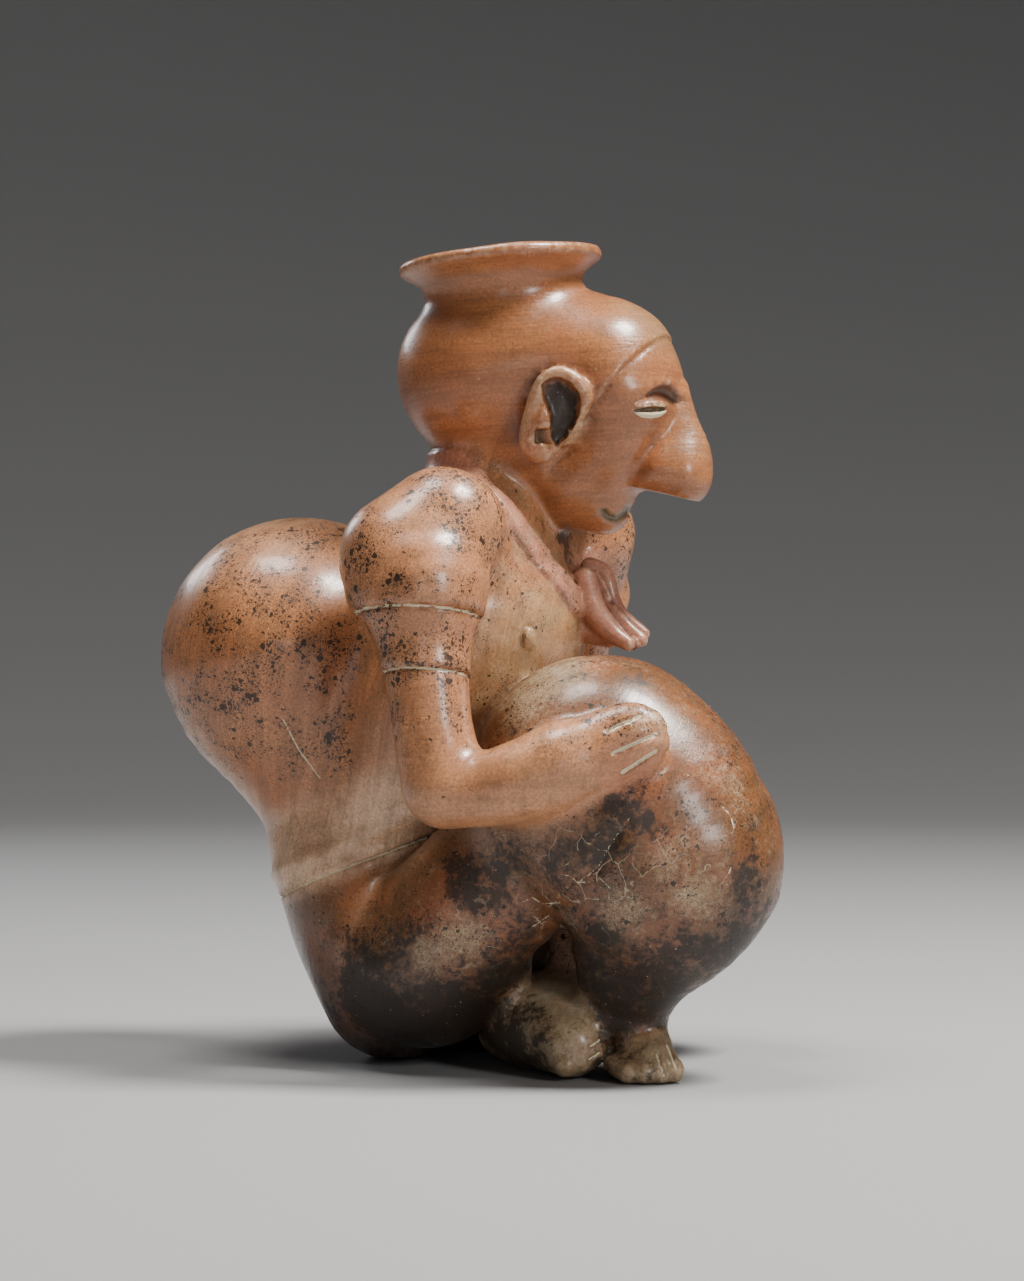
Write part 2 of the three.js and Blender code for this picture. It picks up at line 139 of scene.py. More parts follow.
NIPPLE, NIPPLE_OUT = (34.5, -39.5, 180), (0.55, -0.8, 0.25)
BELT, BELT_UP = (-56, 79), (-0.375, 0.927)
FINGER_CUTS = [[(81.6, -95.3, 144), (93.8, -88.5, 149.9)], [(84.6, -95.9, 135.3), (100.8, -88.7, 143.2)],
               [(87, -90.5, 127.6), (100.6, -89.4, 136.1)]]
TOE_CUTS = [[(95, -63, 12), (97.9, -63, 3.6)], [(99, -61, 15), (102.8, -61, 6)],
            [(102, -58, 16.5), (104, -58, 10)],
            [(66.5, -60, 14.6), (70.5, -60, 16.8)], [(66, -61, 9.2), (70.5, -61, 11.8)]]
KNEE_PITS = [[(56.1, -80, 47, 8.5), (38.7, -15, 47, 8.5)], [(60.3, -80, 57.5, 4), (42.8, -15, 57.5, 4)]]
LEG_CREASE = [(85, -89, 103), (78, -88, 91), (68, -84, 82), (62, -77, 71)]
CRACKS = [
    [(90, -89, 110), (85, -89, 103), (82, -89, 99), (77, -88, 90), (72, -86, 86), (68, -84, 82)],
    [(40, -71, 73), (45, -71, 75.5), (48, -68, 73), (53, -72, 73.5), (58, -77, 74)],
    [(60, -83, 86), (64, -84, 85.5), (67, -84, 83), (72, -86, 83), (77, -87, 85), (81, -86, 81)],
    [(109, -85, 95), (104, -86, 88), (99, -86, 81)],
    [(123, -71, 114), (127, -71, 110), (128, -70, 105)],
    [(128, -74, 90), (127, -75, 87), (124, -75, 83)],
    [(52, -70, 68), (46, -68, 64), (42, -66, 62)],
]
HUMP_SCRATCH = [(-66, -59, 147), (-61, -53, 134), (-54, -46, 122)]
ELBOW_PIT = (-4, -98, 141.5)

# The way the photo looks, and the way to its right
PHOTO_WAY = np.array([0.259, -0.966, 0.0])
PHOTO_ACROSS = np.array([0.966, 0.259, 0.0])


def smooth_path(stations, steps):
    """A smooth line through the stations, with their radii."""
    known = np.array(stations, float)
    ends = np.vstack([2 * known[0] - known[1], known, 2 * known[-1] - known[-2]])
    path = []
    for i in range(len(known) - 1):
        before, start, end, after = ends[i:i + 4]
        for t in np.arange(steps) / steps:
            path.append(0.5 * (2 * start + (end - before) * t
                               + (2 * before - 5 * start + 4 * end - after) * t ** 2
                               + (3 * start - before - 3 * end + after) * t ** 3))
    path.append(known[-1])
    return np.array(path)


def mirrored(stations, start_shift=0.0, end_shift=None):
    """The far side's stations, moved along X from the first to the last."""
    end_shift = start_shift if end_shift is None else end_shift
    last = max(len(stations) - 1, 1)
    return [(x + start_shift + (end_shift - start_shift) * i / last, -y, z, r)
            for i, (x, y, z, r) in enumerate(stations)]


def in_box(points, low, high):
    """The numbers of the points between two corners."""
    return np.flatnonzero(((points > low) & (points < high)).all(axis=1))


def away_from(points, place):
    return np.linalg.norm(points - place, axis=1)


def round_form(points, stations, wide=1.0, steps=3, reach=22.0):
    """Distance of each point from a round-bodied form, negative inside."""
    path = smooth_path(stations, steps) if len(stations) > 1 else np.array([stations[0]] * 2, float)
    spread = path[:, 3] * max(wide, 1.0)
    low = (path[:, :3] - spread[:, None]).min(axis=0) - reach
    high = (path[:, :3] + spread[:, None]).max(axis=0) + reach
    near = in_box(points, low, high)
    distance = np.full(len(points), FAR_AWAY)
    if not len(near):
        return distance
    p = points[near]
    best = np.full(len(p), FAR_AWAY)
    past_last = np.ones(len(p), bool)
    ends = np.vstack([path[1:], path[-1:] + (path[-1] - path[-2]) * (1, 1, 1, 0)])
    for i, (start, end) in enumerate(zip(path, ends)):
        along = end[:3] - start[:3]
        length = max(np.linalg.norm(along), 1e-6)
        share = (p - start[:3]) @ along / length ** 2
        if i == len(path) - 1:
            counts = past_last
            share = np.zeros(len(p))
        else:
            counts = (past_last & (share < 0)) | ((share >= 0) & (share <= 1))
            past_last = share > 1
            share = np.clip(share, 0, 1)
        off = p - start[:3] - share[:, None] * along
        off[:, 1] /= wide
        out = np.sqrt((off * off).sum(axis=1)) + 1e-9
        growth = (end[3] - start[3]) / length * ((share > 0) & (share < 1))
        slope = np.sqrt((off[:, 0] ** 2 + (off[:, 1] / wide) ** 2 + off[:, 2] ** 2) / out ** 2 + growth ** 2)
        away = (out - start[3] - share * (end[3] - start[3])) / slope
        best = np.where(counts & (away < best), away, best)
    distance[near] = best
    return distance


def merge(first, second, soft):
    """Two forms as one, with a fillet about half as wide as `soft` where they meet."""
    h = np.clip(soft - np.abs(first - second), 0, None) / soft
    return np.minimum(first, second) - h * h * soft / 4


def carve(body, tool, soft):
    """A form less a tool, with the edge rounded."""
    return -merge(-body, tool, soft)


def step(low, high, value):
    """Smooth step from 0 at `low` to 1 at `high`."""
    t = np.clip((value - low) / (high - low), 0, 1)
    return t * t * (3 - 2 * t)


def hill(value, half_width):
    """A smooth hump of height 1 about 0."""
    return 1 - step(0, half_width, np.abs(value))


def line_across(points, line, reach=8.0, way=PHOTO_WAY):
    """Distance from a bent line drawn on the skin, measured square to the way it is looked at."""
    line = np.array(line, float)
    near = in_box(points, line.min(axis=0) - reach, line.max(axis=0) + reach)
    distance = np.full(len(points), FAR_AWAY)
    if not len(near):
        return distance
    flat = points[near] - (points[near] @ way)[:, None] * way
    bends = line - (line @ way)[:, None] * way
    best = np.full(len(near), FAR_AWAY)
    for start, end in zip(bends[:-1], bends[1:]):
        along = end - start
        t = np.clip((flat - start) @ along / (along @ along), 0, 1)
        best = np.minimum(best, np.linalg.norm(flat - start - t[:, None] * along, axis=1))
    distance[near] = best
    return distance


def groove(distance, half_width, depth, lip=0.25):
    """Height of a cut line, with the clay it pushes up on both sides."""
    return lip * hill(distance - 2 * half_width, half_width) - depth * hill(distance, half_width)


def in_profile(radius, height, profile):
    """Distance from a closed outline in radius and height, negative inside."""
    corners = np.array(profile, float)
    squared = np.full(len(radius), FAR_AWAY ** 2)
    sign = np.ones(len(radius))
    for (ax, ay), (bx, by) in zip(corners, np.roll(corners, -1, axis=0)):
        ex, ey = bx - ax, by - ay
        wx, wy = radius - ax, height - ay
        t = np.clip((wx * ex + wy * ey) / (ex * ex + ey * ey), 0, 1)
        squared = np.minimum(squared, (wx - t * ex) ** 2 + (wy - t * ey) ** 2)
        above, below = height >= ay, height < by
        left = ex * wy > ey * wx
        turns = (above & below & left) | ~(above | below | left)
        sign = np.where(turns, -sign, sign)
    return sign * np.sqrt(squared)


def mouth_coordinates(points):
    """Radius and height of each point about the leaning axis of the pouring mouth."""
    q = points - np.array(MOUTH_MIDDLE)
    sideways = q[:, 0] * math.cos(MOUTH_PITCH) + q[:, 2] * math.sin(MOUTH_PITCH)
    height = -q[:, 0] * math.sin(MOUTH_PITCH) + q[:, 2] * math.cos(MOUTH_PITCH)
    return np.hypot(sideways, q[:, 1]), height


def turned(points, profile):
    """Distance from a form turned about the mouth's axis."""
    distance = np.full(len(points), FAR_AWAY)
    near = np.flatnonzero((points[:, 2] > 280) & (np.abs(points[:, 0] - 12) < 75))
    if len(near):
        radius, height = mouth_coordinates(points[near])
        distance[near] = in_profile(radius, height, profile)
    return distance


def first_crossing(distance_of, start, end, count=240):
    """Where a straight line from outside first meets a form."""
    shares = np.linspace(0, 1, count)
    line = np.array(start, float) + shares[:, None] * (np.array(end, float) - np.array(start, float))
    inside = np.flatnonzero(distance_of(line) < 0)
    return line[inside[0]] if len(inside) else line[-1]


def head_side(p):
    """Points of both sides of the head, all brought to its right side."""
    beside = p.copy()
    beside[:, 1] = HEAD_MIDDLE - np.abs(p[:, 1] - HEAD_MIDDLE)
    return beside


def far_hand(p):
    """Points of the left arm brought to the right arm's place."""
    return p * (1, -1, 1) + (FAR_LEG_BACK, 0, 0)


def bare_trunk(p):
    body = merge(round_form(p, TORSO, TORSO_WIDE), round_form(p, PELVIS, PELVIS_WIDE), 6)
    body = merge(body, round_form(p, HUMP, HUMP_WIDE), 12)
    body = merge(body, round_form(p, NECK, NECK_WIDE), 10)
    return merge(body, round_form(p, GIRDLE), 12)


def collar_path(side):
    """Where the collar lies on the trunk, from the breast round to the nape."""
    path = []
    for turn in np.linspace(-8, 188, 15):
        angle = math.radians(turn)
        rise = min(abs(turn) * 1.7, 180)
        z = 194 + 61 * (0.5 - 0.5 * math.cos(math.radians(rise)))
        out = (math.cos(angle), side * math.sin(angle))
        start = (4 + 120 * out[0], 5 + 120 * out[1], z)
        path.append((*first_crossing(bare_trunk, start, (4, 5, z)), 1.0))
    return smooth_path(path, 8)


COLLAR = [collar_path(-1), collar_path(1)]
COLLAR_HALF_WIDTH = 6.4


def collar_distance(p):
    """Distance from the collar's middle line."""
    distance = np.full(len(p), FAR_AWAY)
    near = in_box(p, (-75, -66, 170), (75, 74, 275))
    for half in COLLAR:
        for place in half[:, :3]:
            distance[near] = np.minimum(distance[near], np.linalg.norm(p[near] - place, axis=1))
    return distance


def collar_height(p):
    return 2.3 * (1 - step(COLLAR_HALF_WIDTH - 1, COLLAR_HALF_WIDTH + 0.8, collar_distance(p)))


def belt_place(p):
    """Height over the belt line, square to it."""
    return (p[:, 0] - BELT[0]) * BELT_UP[0] + (p[:, 2] - BELT[1]) * BELT_UP[1]


def belt_height(p):
    over = belt_place(p)
    ridge = 1.5 * hill(over - 9.5, 5) - 0.5 * hill(over - 4.5, 3)
    return (ridge + groove(over, 1.0, 1.0)) * (p[:, 0] < 0) * (p[:, 2] < 125)


def nipple_place(p):
    """How far out in the pellet of a nipple each point lies, 1 at its edge."""
    q = p.copy()
    q[:, 1] = 3 - np.abs(p[:, 1] - 3)
    q -= NIPPLE
    out = np.array(NIPPLE_OUT) / np.linalg.norm(NIPPLE_OUT)
    across = np.cross(out, (0, 0, 1))
    across /= np.linalg.norm(across)
    up = np.cross(across, out)
    return np.where(np.linalg.norm(q, axis=1) < 12, np.hypot(q @ across / 3.5, q @ up / 4.7), FAR_AWAY)


def nipple_height(p):
    return 2.5 * np.sqrt(np.clip(1 - nipple_place(p) ** 2, 0, 1))


def trunk_form(p, cut=True):
    body = bare_trunk(p) - collar_height(p)
    if cut:
        body = body - belt_height(p) - nipple_height(p) - groove(line_across(p, HUMP_SCRATCH), 0.5, 0.35, 0)
    return body


def pendant_form(p):
    body = merge(round_form(p, PENDANT_WEB), round_form(p, PENDANT_UNDERSIDE), 4)
    for ridge in PENDANT_RIDGES:
        body = merge(body, round_form(p, ridge), 1.6)
    return body


def cut_cap(beside):
    """Height of the cap's edge, square to it, far above where there is no cap."""
    over = (beside[:, 0] - CAP_EDGE[0]) * CAP_UP[0] + (beside[:, 2] - CAP_EDGE[1]) * CAP_UP[1]
    return np.where((beside[:, 0] > 33) & (beside[:, 2] > 246), over, FAR_AWAY)


def cap_height(beside):
    over = cut_cap(beside)
    fade = step(247, 256, beside[:, 2])
    return fade * (1.0 * step(-0.5, 0.6, over) * (1 - step(5, 24, over)) - 0.5 * hill(over + 0.9, 0.9))


def eye_place(beside):
    """Place of each point along and up the eye slit from its middle."""
    start, end = np.array(EYE_ENDS)
    along = (end - start) / np.linalg.norm(end - start)
    up = np.array([0, 0, 1]) - along[2] * along
    q = beside - (start + end) / 2
    near = np.linalg.norm(q, axis=1) < 22
    return np.where(near, q @ along, FAR_AWAY), np.where(near, q @ up, FAR_AWAY)


def eye_opening(along):
    """How open the almond of the eye is along its slit, from 0 at its corners to 1."""
    return np.sqrt(np.clip(1 - (along / 8.8) ** 2, 0, 1))


def eye_height(beside):
    along, up = eye_place(beside)
    open_by = eye_opening(along)
    mound = 1 - step(0.5, 1.1, np.hypot(along / 11, up / 6.2))
    lids = hill(np.abs(up) - 2.1 * open_by, 1.5) * step(0, 0.35, open_by)
    slit = hill(up - 0.1, 0.35 + 0.8 * open_by) * step(0, 0.3, open_by)
    return 0.9 * mound + 0.6 * lids - 2.4 * slit


def brow_height(beside):
    """The brow's edge, over the hollow by the nose."""
    line = np.array(BROW)
    over = (line_across(beside, line - (0, 0, 3), 9) - line_across(beside, line + (0, 0, 3), 9)) / 2
    distance = line_across(beside, line, 9)
    return 0.9 * hill(distance, 6) * step(-1, 1.5, over) - 1.0 * hill(distance, 5) * step(-1, 1.2, -over)


def mouth_height(beside):
    distance = line_across(beside, MOUTH_SLIT)
    return groove(distance, 2.1, 1.5, 0.1)


def face_height(beside):
    wing = 1.1 * hill(line_across(beside, NOSE_WING), 5)
    return cap_height(beside) + eye_height(beside) + brow_height(beside) + mouth_height(beside) - wing


def ear_hollow(beside, outline, sunk):
    """Distance from a hollow of the given outline, cut into the ear as deep as the side of the head."""
    floor = -18.5 - 0.26 * (beside[:, 2] - 265) - sunk
    distance = np.full(len(beside), FAR_AWAY)
    near = in_box(beside, (15, -FAR_AWAY, 243), (71, -8, 303))
    shape = in_profile(beside[near] @ PHOTO_ACROSS, beside[near, 2], outline)
    distance[near] = np.maximum(shape, beside[near, 1] - floor[near])
    return distance


def nose_under(p):
    """Height over the plane of the nose's underside, negative above it."""
    return (p[:, 0] - NOSE_UNDERSIDE[0]) * NOSE_DOWN[0] + (p[:, 2] - NOSE_UNDERSIDE[1]) * NOSE_DOWN[1]


def nose_form(p):
    body = merge(round_form(p, NOSE, NOSE_WIDE), round_form(p, NOSTRILS, 1.1), 12)
    body = merge(body, round_form(head_side(p), NOSE_WINGS), 11)
    return carve(body, -nose_under(p), 1.0)


def ear_form(beside):
    body = merge(round_form(beside, EAR_RIM), round_form(beside, EAR_PLATE), 2)
    return merge(body, round_form(beside, EAR_STRIP), 2)


def head_form(p, cut=True):
    body = merge(round_form(p, CRANIUM, CRANIUM_WIDE), round_form(p, FACE, FACE_WIDE), 8)
    body = merge(body, round_form(p, JAW, JAW_WIDE), 8)
    body = merge(body, round_form(p, CHIN, CHIN_WIDE), 7)
    body = merge(body, nose_form(p), 3)
    beside = head_side(p)
    body = merge(body, ear_form(beside), 2.5)
    if cut:
        body = body - face_height(beside)
        body = carve(body, round_form(beside, BROW_HOLLOW, 1, 5), 2.6)
        body = carve(body, ear_hollow(beside, EAR_OPENING, 0), 1.2)
        body = carve(body, ear_hollow(beside, EAR_NOTCH, 12), 0.8)
    return body


def armband_place(p, far, share):
    """Height over one cut band of an arm, square to its slanting plane."""
    stations = mirrored(UPPER_ARM, FAR_TWIST, FAR_TWIST * 0.2) if far else UPPER_ARM
    path = smooth_path(stations, 12)
    x, y, z, r = path[int(round(share * (len(path) - 1)))]
    side = -1 if far else 1
    over = (p[:, 2] - z) + ARMBAND_TILT * side * (p[:, 1] - y)
    return np.where(np.hypot(p[:, 0] - x, p[:, 1] - y) < r + 9, over, FAR_AWAY)


def armband_height(p, far):
    height = np.zeros(len(p))
    for share in ARMBANDS:
        over = armband_place(p, far, share)
        height += groove(over, 0.95, 1.3, 0.2) + 0.6 * step(0, 1.5, over) * (1 - step(2, 12, over))
    return height


def arm_form(p, far, cut=True):
    place = mirrored if far else (lambda stations, *shifts: stations)
    body = merge(round_form(p, place(SHOULDER, FAR_TWIST)),
                 round_form(p, place(UPPER_ARM, FAR_TWIST, FAR_TWIST * 0.2)), 9)
    body = merge(body, round_form(p, place(FOREARM, FAR_TWIST * 0.2, -FAR_LEG_BACK)), 5)
    body = merge(body, round_form(p, place(PALM, -FAR_LEG_BACK), PALM_WIDE), 6)
    fingers = np.full(len(p), FAR_AWAY)
    for finger in FINGERS:
        fingers = merge(fingers, round_form(p, place(finger, -FAR_LEG_BACK)), 3)
    body = merge(body, fingers, 6)
    if cut:
        body = body - armband_height(p, far)
        hand = far_hand(p) if far else p
        for line in FINGER_CUTS:
            body = body - groove(line_across(hand, line), 0.95, 1.6, 0.15)
    return body


def far_thigh():
    stations = mirrored(THIGH, 0, -FAR_LEG_BACK)
    x, y, z, r = stations[0]
    return [(x, y, z - FAR_HIP_DROP, r), *stations[1:]]


def leg_form(p, far, cut=True):
    thigh = round_form(p, far_thigh() if far else THIGH, LEG_WIDE)
    shin = round_form(p, mirrored(SHIN, -FAR_LEG_BACK) if far else SHIN, LEG_WIDE)
    calf = round_form(p, CROSSED_CALF if far else CALF, LEG_WIDE)
    body = merge(merge(shin, calf, 12), thigh, 3 + 11 * step(72, 112, p[:, 2]))
    if far:
        return merge(body, round_form(p, INNER_CALF), 8)
    for pit in KNEE_PITS:
        body = carve(body, round_form(p, pit), 4)
    if cut:
        body = body + 1.5 * hill(line_across(p, LEG_CREASE, 12), 5)
        for line in CRACKS:
            body = body - groove(line_across(p, line), 0.5, 0.3, 0)
    return body


def toe_form(p):
    body = np.full(len(p), FAR_AWAY)
    for x, y, z, r in TOES:
        root = (x + TOE_ROOT[0], y + TOE_ROOT[1], z + TOE_ROOT[2], r)
        body = merge(body, round_form(p, [root, (x, y, z, r)], steps=1), 2)
    return body


def feet_form(p, cut=True):
    near = round_form(p, NEAR_FOOT)
    crossed = merge(round_form(p, CROSSED_FOOT), round_form(p, CROSSED_INSTEP), 8)
    feet = merge(np.minimum(near, crossed), toe_form(p), 3)
    if cut:
        for line in TOE_CUTS:
            feet = feet - groove(line_across(p, line), 0.8, 1.1, 0.15)
    return feet


def hand_wave(p):
    """The slight unevenness that the potter's hand leaves."""
    x, y, z = p.T
    return (0.22 * np.sin(x / 7.3 + 1.1 * np.sin(z / 11)) * np.sin(z / 8.1 + y / 13)
            + 0.26 * np.sin(x / 15 - y / 11 + 2) * np.sin(z / 13 + y / 9 + 1))


def figure_form(p, cut=True):
    """The whole outside of the figure with the bore of its mouth, with or without its cut lines."""
    z = p[:, 2]
    head = merge(head_form(p, cut), turned(p, MOUTH_OUTSIDE), 6)
    body = trunk_form(p, cut)
    for far in (False, True):
        body = merge(body, arm_form(p, far, cut), 3 + 9 * step(205, 235, z))
    for far in (False, True):
        body = merge(body, leg_form(p, far, cut), 11 - 8 * step(88, 125, z))
    body = merge(body, feet_form(p, cut), 5)
    body = merge(body, pendant_form(p), 2.5)
    body = merge(body, head, 5)
    if cut:
        body = body + hand_wave(p) * step(4, 20, z)
        body = body + 1.2 * hill(away_from(p, ELBOW_PIT), 2.2)
    body = carve(body, turned(p, MOUTH_BORE), 1.5)
    return carve(body, z, 2)


def cut_distance(p):
    """Distance from the closest cut line or small raised form, for making the mesh finer there."""
    beside = head_side(p)
    along, up = eye_place(beside)
    past_eye = np.hypot(np.clip(np.abs(along) - 8, 0, None), np.clip(np.abs(up) - 2.5, 0, None))
    lines = [np.abs(cut_cap(beside)), past_eye, line_across(beside, MOUTH_SLIT),
             3.5 * np.clip(nipple_place(p) - 1, 0, None),
             np.abs(round_form(beside, BROW_HOLLOW, 1, 4)), np.abs(nose_form(p)) + 1.8,
             np.maximum(np.abs(nose_under(p)), np.abs(nose_form(p))),
             np.abs(ear_hollow(beside, EAR_OPENING, 0)), np.abs(ear_hollow(beside, EAR_NOTCH, 12)),
             np.where((p[:, 0] < 0) & (p[:, 2] < 125), np.abs(belt_place(p)), FAR_AWAY),
             np.abs(collar_distance(p) - COLLAR_HALF_WIDTH) + 1, away_from(p, ELBOW_PIT) - 1]
    for far in (False, True):
        lines += [np.abs(armband_place(p, far, share)) for share in ARMBANDS]
        hand = far_hand(p) if far else p
        lines += [line_across(hand, line) for line in FINGER_CUTS]
    lines += [line_across(p, line) for line in [*TOE_CUTS, *CRACKS, HUMP_SCRATCH]]
    lines += [np.abs(form) + 1 for form in (pendant_form(p), ear_form(beside), toe_form(p))]
    radius, height = mouth_coordinates(p)
    lines.append(np.hypot(radius - 40.5, height + 1) - 0.5)
    return np.minimum.reduce(lines)


def activate(piece):
    bpy.ops.object.select_all(action="DESELECT")
    piece.select_set(True)
    bpy.context.view_layer.objects.active = piece


def apply_modifier(piece, kind, **settings):
    activate(piece)
    modifier = piece.modifiers.new(kind.lower(), kind)
    for name, value in settings.items():
        setattr(modifier, name, value)
    bpy.ops.object.modifier_apply(modifier=modifier.name)


def points_of(piece):
    flat = np.empty(len(piece.data.vertices) * 3)
    piece.data.vertices.foreach_get("co", flat)
    return flat.reshape(-1, 3) / MM + FIGURE_MIDDLE


def set_points(piece, points):
    piece.data.vertices.foreach_set("co", ((points - FIGURE_MIDDLE) * MM).ravel())
    piece.data.update()


def normals_of(piece):
    flat = np.empty(len(piece.data.vertices) * 3)
    piece.data.vertices.foreach_get("normal", flat)
    return flat.reshape(-1, 3)


def edges_of(piece):
    flat = np.empty(len(piece.data.edges) * 2, int)
    piece.data.edges.foreach_get("vertices", flat)
    return flat.reshape(-1, 2)


def neighbour_mean(values, edges):
    """Mean of what the vertices joined to each one hold."""
    ends = np.concatenate([edges[:, 0], edges[:, 1]])
    others = np.concatenate([edges[:, 1], edges[:, 0]])
    count = np.maximum(np.bincount(ends, minlength=len(values)), 1)
    return np.stack([np.bincount(ends, values[others, axis], len(values)) / count
                     for axis in range(values.shape[1])], axis=1)


def find_outside(piece):
    """Marks the outer skin: what can be walked to from the outermost point without going down the bore."""
    points, edges = points_of(piece), edges_of(piece)
    radius, height = mouth_coordinates(points)
    barred = (radius < 33.5) & (height < -9) & (height > -18)
    reached = np.zeros(len(points), bool)
    reached[np.argmin(points[:, 0])] = True
    count = 0
    while reached.sum() > count:
        count = reached.sum()
        for start, end in ((0, 1), (1, 0)):
            reached[edges[reached[edges[:, start]], end]] = True
            reached &= ~barred
    mark = piece.data.attributes.new("outer", "FLOAT", "POINT")
    mark.data.foreach_set("value", reached.astype(np.float32))


def outside_of(piece):
    values = np.empty(len(piece.data.vertices), np.float32)
    piece.data.attributes["outer"].data.foreach_get("value", values)
    return values > 0.5


def model_towards(piece, form, rounds, ease, most=1.5):
    """Moves the outer skin onto a form, evening the mesh out on the way."""
    points, edges = points_of(piece), edges_of(piece)
    outside = outside_of(piece)
    for _ in range(rounds):
        points += ease * (neighbour_mean(points, edges) - points)
        set_points(piece, points)
        away = np.clip(form(points[outside]), -most, most)
        points[outside] -= normals_of(piece)[outside] * away[:, None]
        set_points(piece, points)


def select_points(piece, picked):
    """Goes into edit mode with the picked points selected and nothing else."""
    activate(piece)
    bpy.ops.object.mode_set(mode="EDIT")
    bpy.ops.mesh.select_mode(type="VERT")
    bpy.ops.mesh.select_all(action="DESELECT")
    bpy.ops.object.mode_set(mode="OBJECT")
    piece.data.vertices.foreach_set("select", picked)
    bpy.ops.object.mode_set(mode="EDIT")


def refine(piece, reach):
    """Halves the mesh near the cut lines."""
    select_points(piece, outside_of(piece) & (cut_distance(points_of(piece)) < reach))
    bpy.ops.mesh.subdivide(number_cuts=1)
    bpy.ops.object.mode_set(mode="OBJECT")


def thin_inside(piece, share):
    """Leaves fewer faces on the inside of the walls, which hardly shows."""
    select_points(piece, ~outside_of(piece))
    bpy.ops.mesh.decimate(ratio=share)
    bpy.ops.object.mode_set(mode="OBJECT")


def add_clay(piece):
    """Presses balls of clay on where a form bridges a gap between the solid's masses."""
    balls = [piece]
    for x, y, z, r in ADDED_CLAY:
        place = (np.array([x, y, z]) - FIGURE_MIDDLE) * MM
        bpy.ops.mesh.primitive_ico_sphere_add(subdivisions=3, radius=r * MM, location=place)
        balls.append(bpy.context.active_object)
    bpy.ops.object.select_all(action="DESELECT")
    for ball in balls:
        ball.select_set(True)
    bpy.context.view_layer.objects.active = piece
    bpy.ops.object.join()


def vessel_block():
    """An even mesh over the clay solid."""
    piece = bpy.data.objects.new("clay_figure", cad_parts["hunchback_vessel"].data.copy())
    bpy.context.scene.collection.objects.link(piece)
    activate(piece)
    bpy.ops.object.mode_set(mode="EDIT")
    bpy.ops.mesh.select_all(action="SELECT")
    bpy.ops.mesh.remove_doubles(threshold=1e-6)
    bpy.ops.object.mode_set(mode="OBJECT")
    piece.data.materials.clear()
    add_clay(piece)
    apply_modifier(piece, "REMESH", mode="VOXEL", voxel_size=3.1 * MM, use_smooth_shade=True)
    return piece


def clay_figure():
    """The figure modelled over its solid, first its masses and then its cut lines."""
    piece = vessel_block()
    find_outside(piece)
    model_towards(piece, lambda p: figure_form(p, False), 8, 0.5)
    thin_inside(piece, 0.1)
    refine(piece, 4.0)
    model_towards(piece, figure_form, 3, 0.35, 0.9)
    refine(piece, 1.6)
    model_towards(piece, figure_form, 3, 0.2, 0.6)
    return piece


def colour(red, green, blue):
    """A linear colour from the screen values of 0 to 255 that a painter would mix by."""
    return np.array([((c / 255 + 0.055) / 1.055) ** 2.4 for c in (red, green, blue)])


# Slip of each zone, then of its smaller places, then fire marks, deposits, painted shade and painted light
ZONE_COLOURS = {
    "head": colour(158, 102, 64),
    "trunk": colour(180, 124, 84),
    "arm": colour(190, 132, 92),
    "leg": colour(116, 77, 46),
    "feet": colour(140, 122, 94),
    "pendant": colour(196, 140, 116),
}
HUMP_COLOUR = colour(184, 124, 82)
# Painted light: a lighter slip for the top of the hump, where the overhead light falls
HUMP_TOP_LIGHT_COLOUR = colour(206, 150, 108)
CHEST_COLOUR = colour(190, 146, 100)
# The waist's pale buff, made lighter still as painted light where the hump shades it
WAIST_BUFF_AND_LIGHT_COLOUR = colour(224, 184, 150)
PELVIS_COLOUR = colour(124, 82, 52)
CAP_FRONT_COLOUR = colour(150, 118, 82)
NOSE_COLOUR = colour(150, 108, 74)
EAR_COLOUR = colour(200, 164, 128)
COLLAR_COLOUR = colour(208, 144, 116)
FOREARM_COLOUR = colour(194, 136, 96)
# The instep's pale buff, made paler still as painted light
INSTEP_BUFF_AND_LIGHT_COLOUR = colour(232, 218, 190)
# Pale pink for painted light on the far leg seen through the hole between the legs
HOLE_LIGHT_COLOUR = colour(244, 196, 172)
LOWER_COLOUR = colour(72, 54, 36)
# Dark brown for painted shade in the ear hollows and down the bore, and for the inside of the walls
CAVITY_SHADE_COLOUR = colour(52, 36, 26)
MOUTH_OLIVE = colour(92, 88, 68)
CREAM = colour(226, 212, 180)
BUFF = colour(188, 168, 134)
ASH_BLUE = colour(84, 82, 80)
# Soot black, also laid in the hollow under the brow as painted shade
SOOT_AND_SHADE_BLACK = colour(22, 16, 11)
MANGANESE = colour(34, 25, 20)
RED_SLIP = colour(172, 98, 62)
BROWN_SLIP = colour(112, 78, 48)
WINE_SLIP = colour(150, 84, 70)
# Dark brown for painted shade in the creases
CREASE_SHADE_COLOUR = colour(62, 48, 34)
WORN_CLAY = colour(224, 188, 152)

# Where the cap and the nose are browner
CAP_FRONT, NOSE_FRONT = (76, 0, 312), (99, 4, 266)

# How far the burnishing strokes turn, on the head and on the limbs
LEVEL_STROKES, UPRIGHT_STROKES = (0, 0.06, 0), (0, 1.35, 0)
